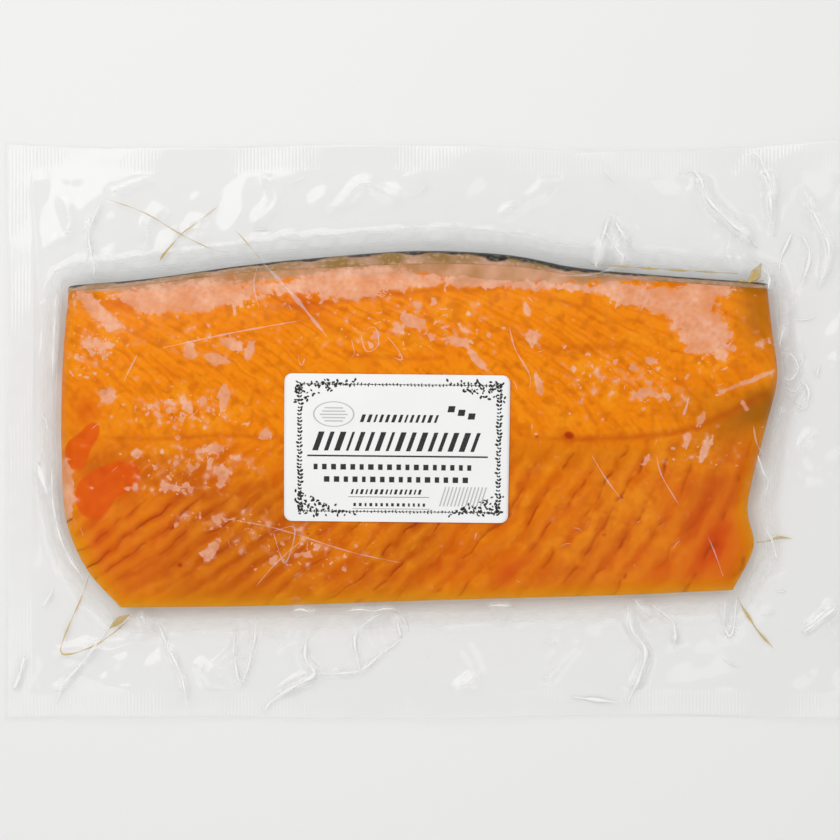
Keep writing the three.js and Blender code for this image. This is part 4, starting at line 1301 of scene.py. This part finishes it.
class SALMON_OT_label(bpy.types.Operator):
    """Make the paper label and its print"""
    bl_idname = "salmon.label"
    bl_label = "Label"

    def execute(self, context):
        settings = context.scene.salmon_label
        add_piece("paper_label", label_shape(settings), paper_material(settings), "label_paper", ["label"])
        up = settings.paper / MM + INK_LIFT
        for name, shapes, ink in (("label_print", vine_border() + plain_rows(), settings.ink_colour),
                                  ("label_marks", grey_marks(), settings.grey_colour)):
            add_piece(name, print_shape(shapes, up), ink_material(name, ink), "label_paper")
        return {"FINISHED"}


class SALMON_OT_oil(bpy.types.Operator):
    """Make the oil that has crept out of the fish"""
    bl_idname = "salmon.oil"
    bl_label = "Oil"

    def execute(self, context):
        sweep("oil_threads", lay_on(bpy.data.objects["film"], OIL_THREADS),
              oil_material(context.scene.salmon_fish), "salmon_flesh")
        return {"FINISHED"}


class SALMON_OT_stage(bpy.types.Operator):
    """Make the floor, the lights and the camera"""
    bl_idname = "salmon.stage"
    bl_label = "Stage"

    def execute(self, context):
        settings, scene = context.scene.salmon_stage, context.scene
        material, add = new_material("matt_table_top")
        add("OutputMaterial", (add("BsdfPrincipled", {
            "Base Color": settings.floor_colour, "Roughness": 0.9, "Specular IOR Level": 0.1}),))
        corners = np.array([(-1, -1), (1, -1), (1, 1), (-1, 1)]) * FLOOR_SIZE / 2
        corners = np.column_stack([corners, np.full(4, -FLOOR_DROP)])
        add_piece("floor", (corners, [np.array([[0, 1, 2, 3]])], {}), material)

        # Softboxes round the pack: (azimuth, height above the table, distance, width, height, power).
        softboxes = [(125, 720, 450, 600, 400, settings.key)]
        softboxes += [(azimuth, 800, 480, 500, 300, settings.fill) for azimuth in (35, 215, 305)]
        for azimuth, up, away, wide, tall, power in softboxes:
            lamp = bpy.data.lights.new(f"softbox_{azimuth}", "AREA")
            lamp.shape, lamp.size, lamp.size_y, lamp.energy = "RECTANGLE", wide * MM, tall * MM, power
            box = bpy.data.objects.new(lamp.name, lamp)
            turn = math.radians(azimuth)
            box.location = Vector((away * math.cos(turn), away * math.sin(turn), up)) * MM
            box.rotation_euler = (-box.location).to_track_quat("-Z", "Y").to_euler()
            scene.collection.objects.link(box)

        # A ring of light round the stage, a little darker overhead, where the flat film mirrors it.
        world = bpy.data.worlds.new("studio")
        world.use_nodes = True
        world.node_tree.nodes.clear()
        add = partial(add_node, world.node_tree)
        up = add("SeparateXYZ", (add("TexCoord", out="Generated"),), "Z")
        bright = add("MapRange", (up, 0.975, 0.88, settings.zenith, settings.ring),
                     **SMOOTH)
        add("OutputWorld", (add("Background", {"Color": (1, 1, 1, 1), "Strength": bright}),))
        scene.world = world

        eye = bpy.data.cameras.new("camera")
        eye.lens, eye.sensor_width, eye.clip_start = CAMERA_LENS, 36, 0.01
        scene.camera = bpy.data.objects.new("camera", eye)
        scene.camera.location = Vector((*CAMERA_OVER, CAMERA_HEIGHT)) * MM
        scene.collection.objects.link(scene.camera)
        scene.view_settings.view_transform = "Standard"
        return {"FINISHED"}


OPERATORS = (SALMON_OT_flesh, SALMON_OT_skin, SALMON_OT_film, SALMON_OT_label, SALMON_OT_oil,
             SALMON_OT_stage)


class SALMON_PT_pieces(bpy.types.Panel):
    """The pack's pieces and their settings"""
    bl_label = "Salmon pack"
    bl_idname = "SALMON_PT_pieces"
    bl_space_type = "VIEW_3D"
    bl_region_type = "UI"
    bl_category = "Salmon pack"

    def draw(self, context):
        for operator in OPERATORS:
            self.layout.operator(operator.bl_idname)
        for key, group in GROUPS.items():
            box = self.layout.box()
            for name in group.__annotations__:
                box.prop(getattr(context.scene, key), name)


def register():
    for cls in (*GROUPS.values(), *OPERATORS, SALMON_PT_pieces):
        bpy.utils.register_class(cls)
    for key, group in GROUPS.items():
        setattr(bpy.types.Scene, key, PointerProperty(type=group))


def unregister():
    for key in GROUPS:
        delattr(bpy.types.Scene, key)
    for cls in reversed((*GROUPS.values(), *OPERATORS, SALMON_PT_pieces)):
        bpy.utils.unregister_class(cls)


def main():
    register()
    for operator in OPERATORS:
        group, name = operator.bl_idname.split(".")
        getattr(getattr(bpy.ops, group), name)()
    bpy.context.view_layer.update()


if __name__ == "__main__":
    main()
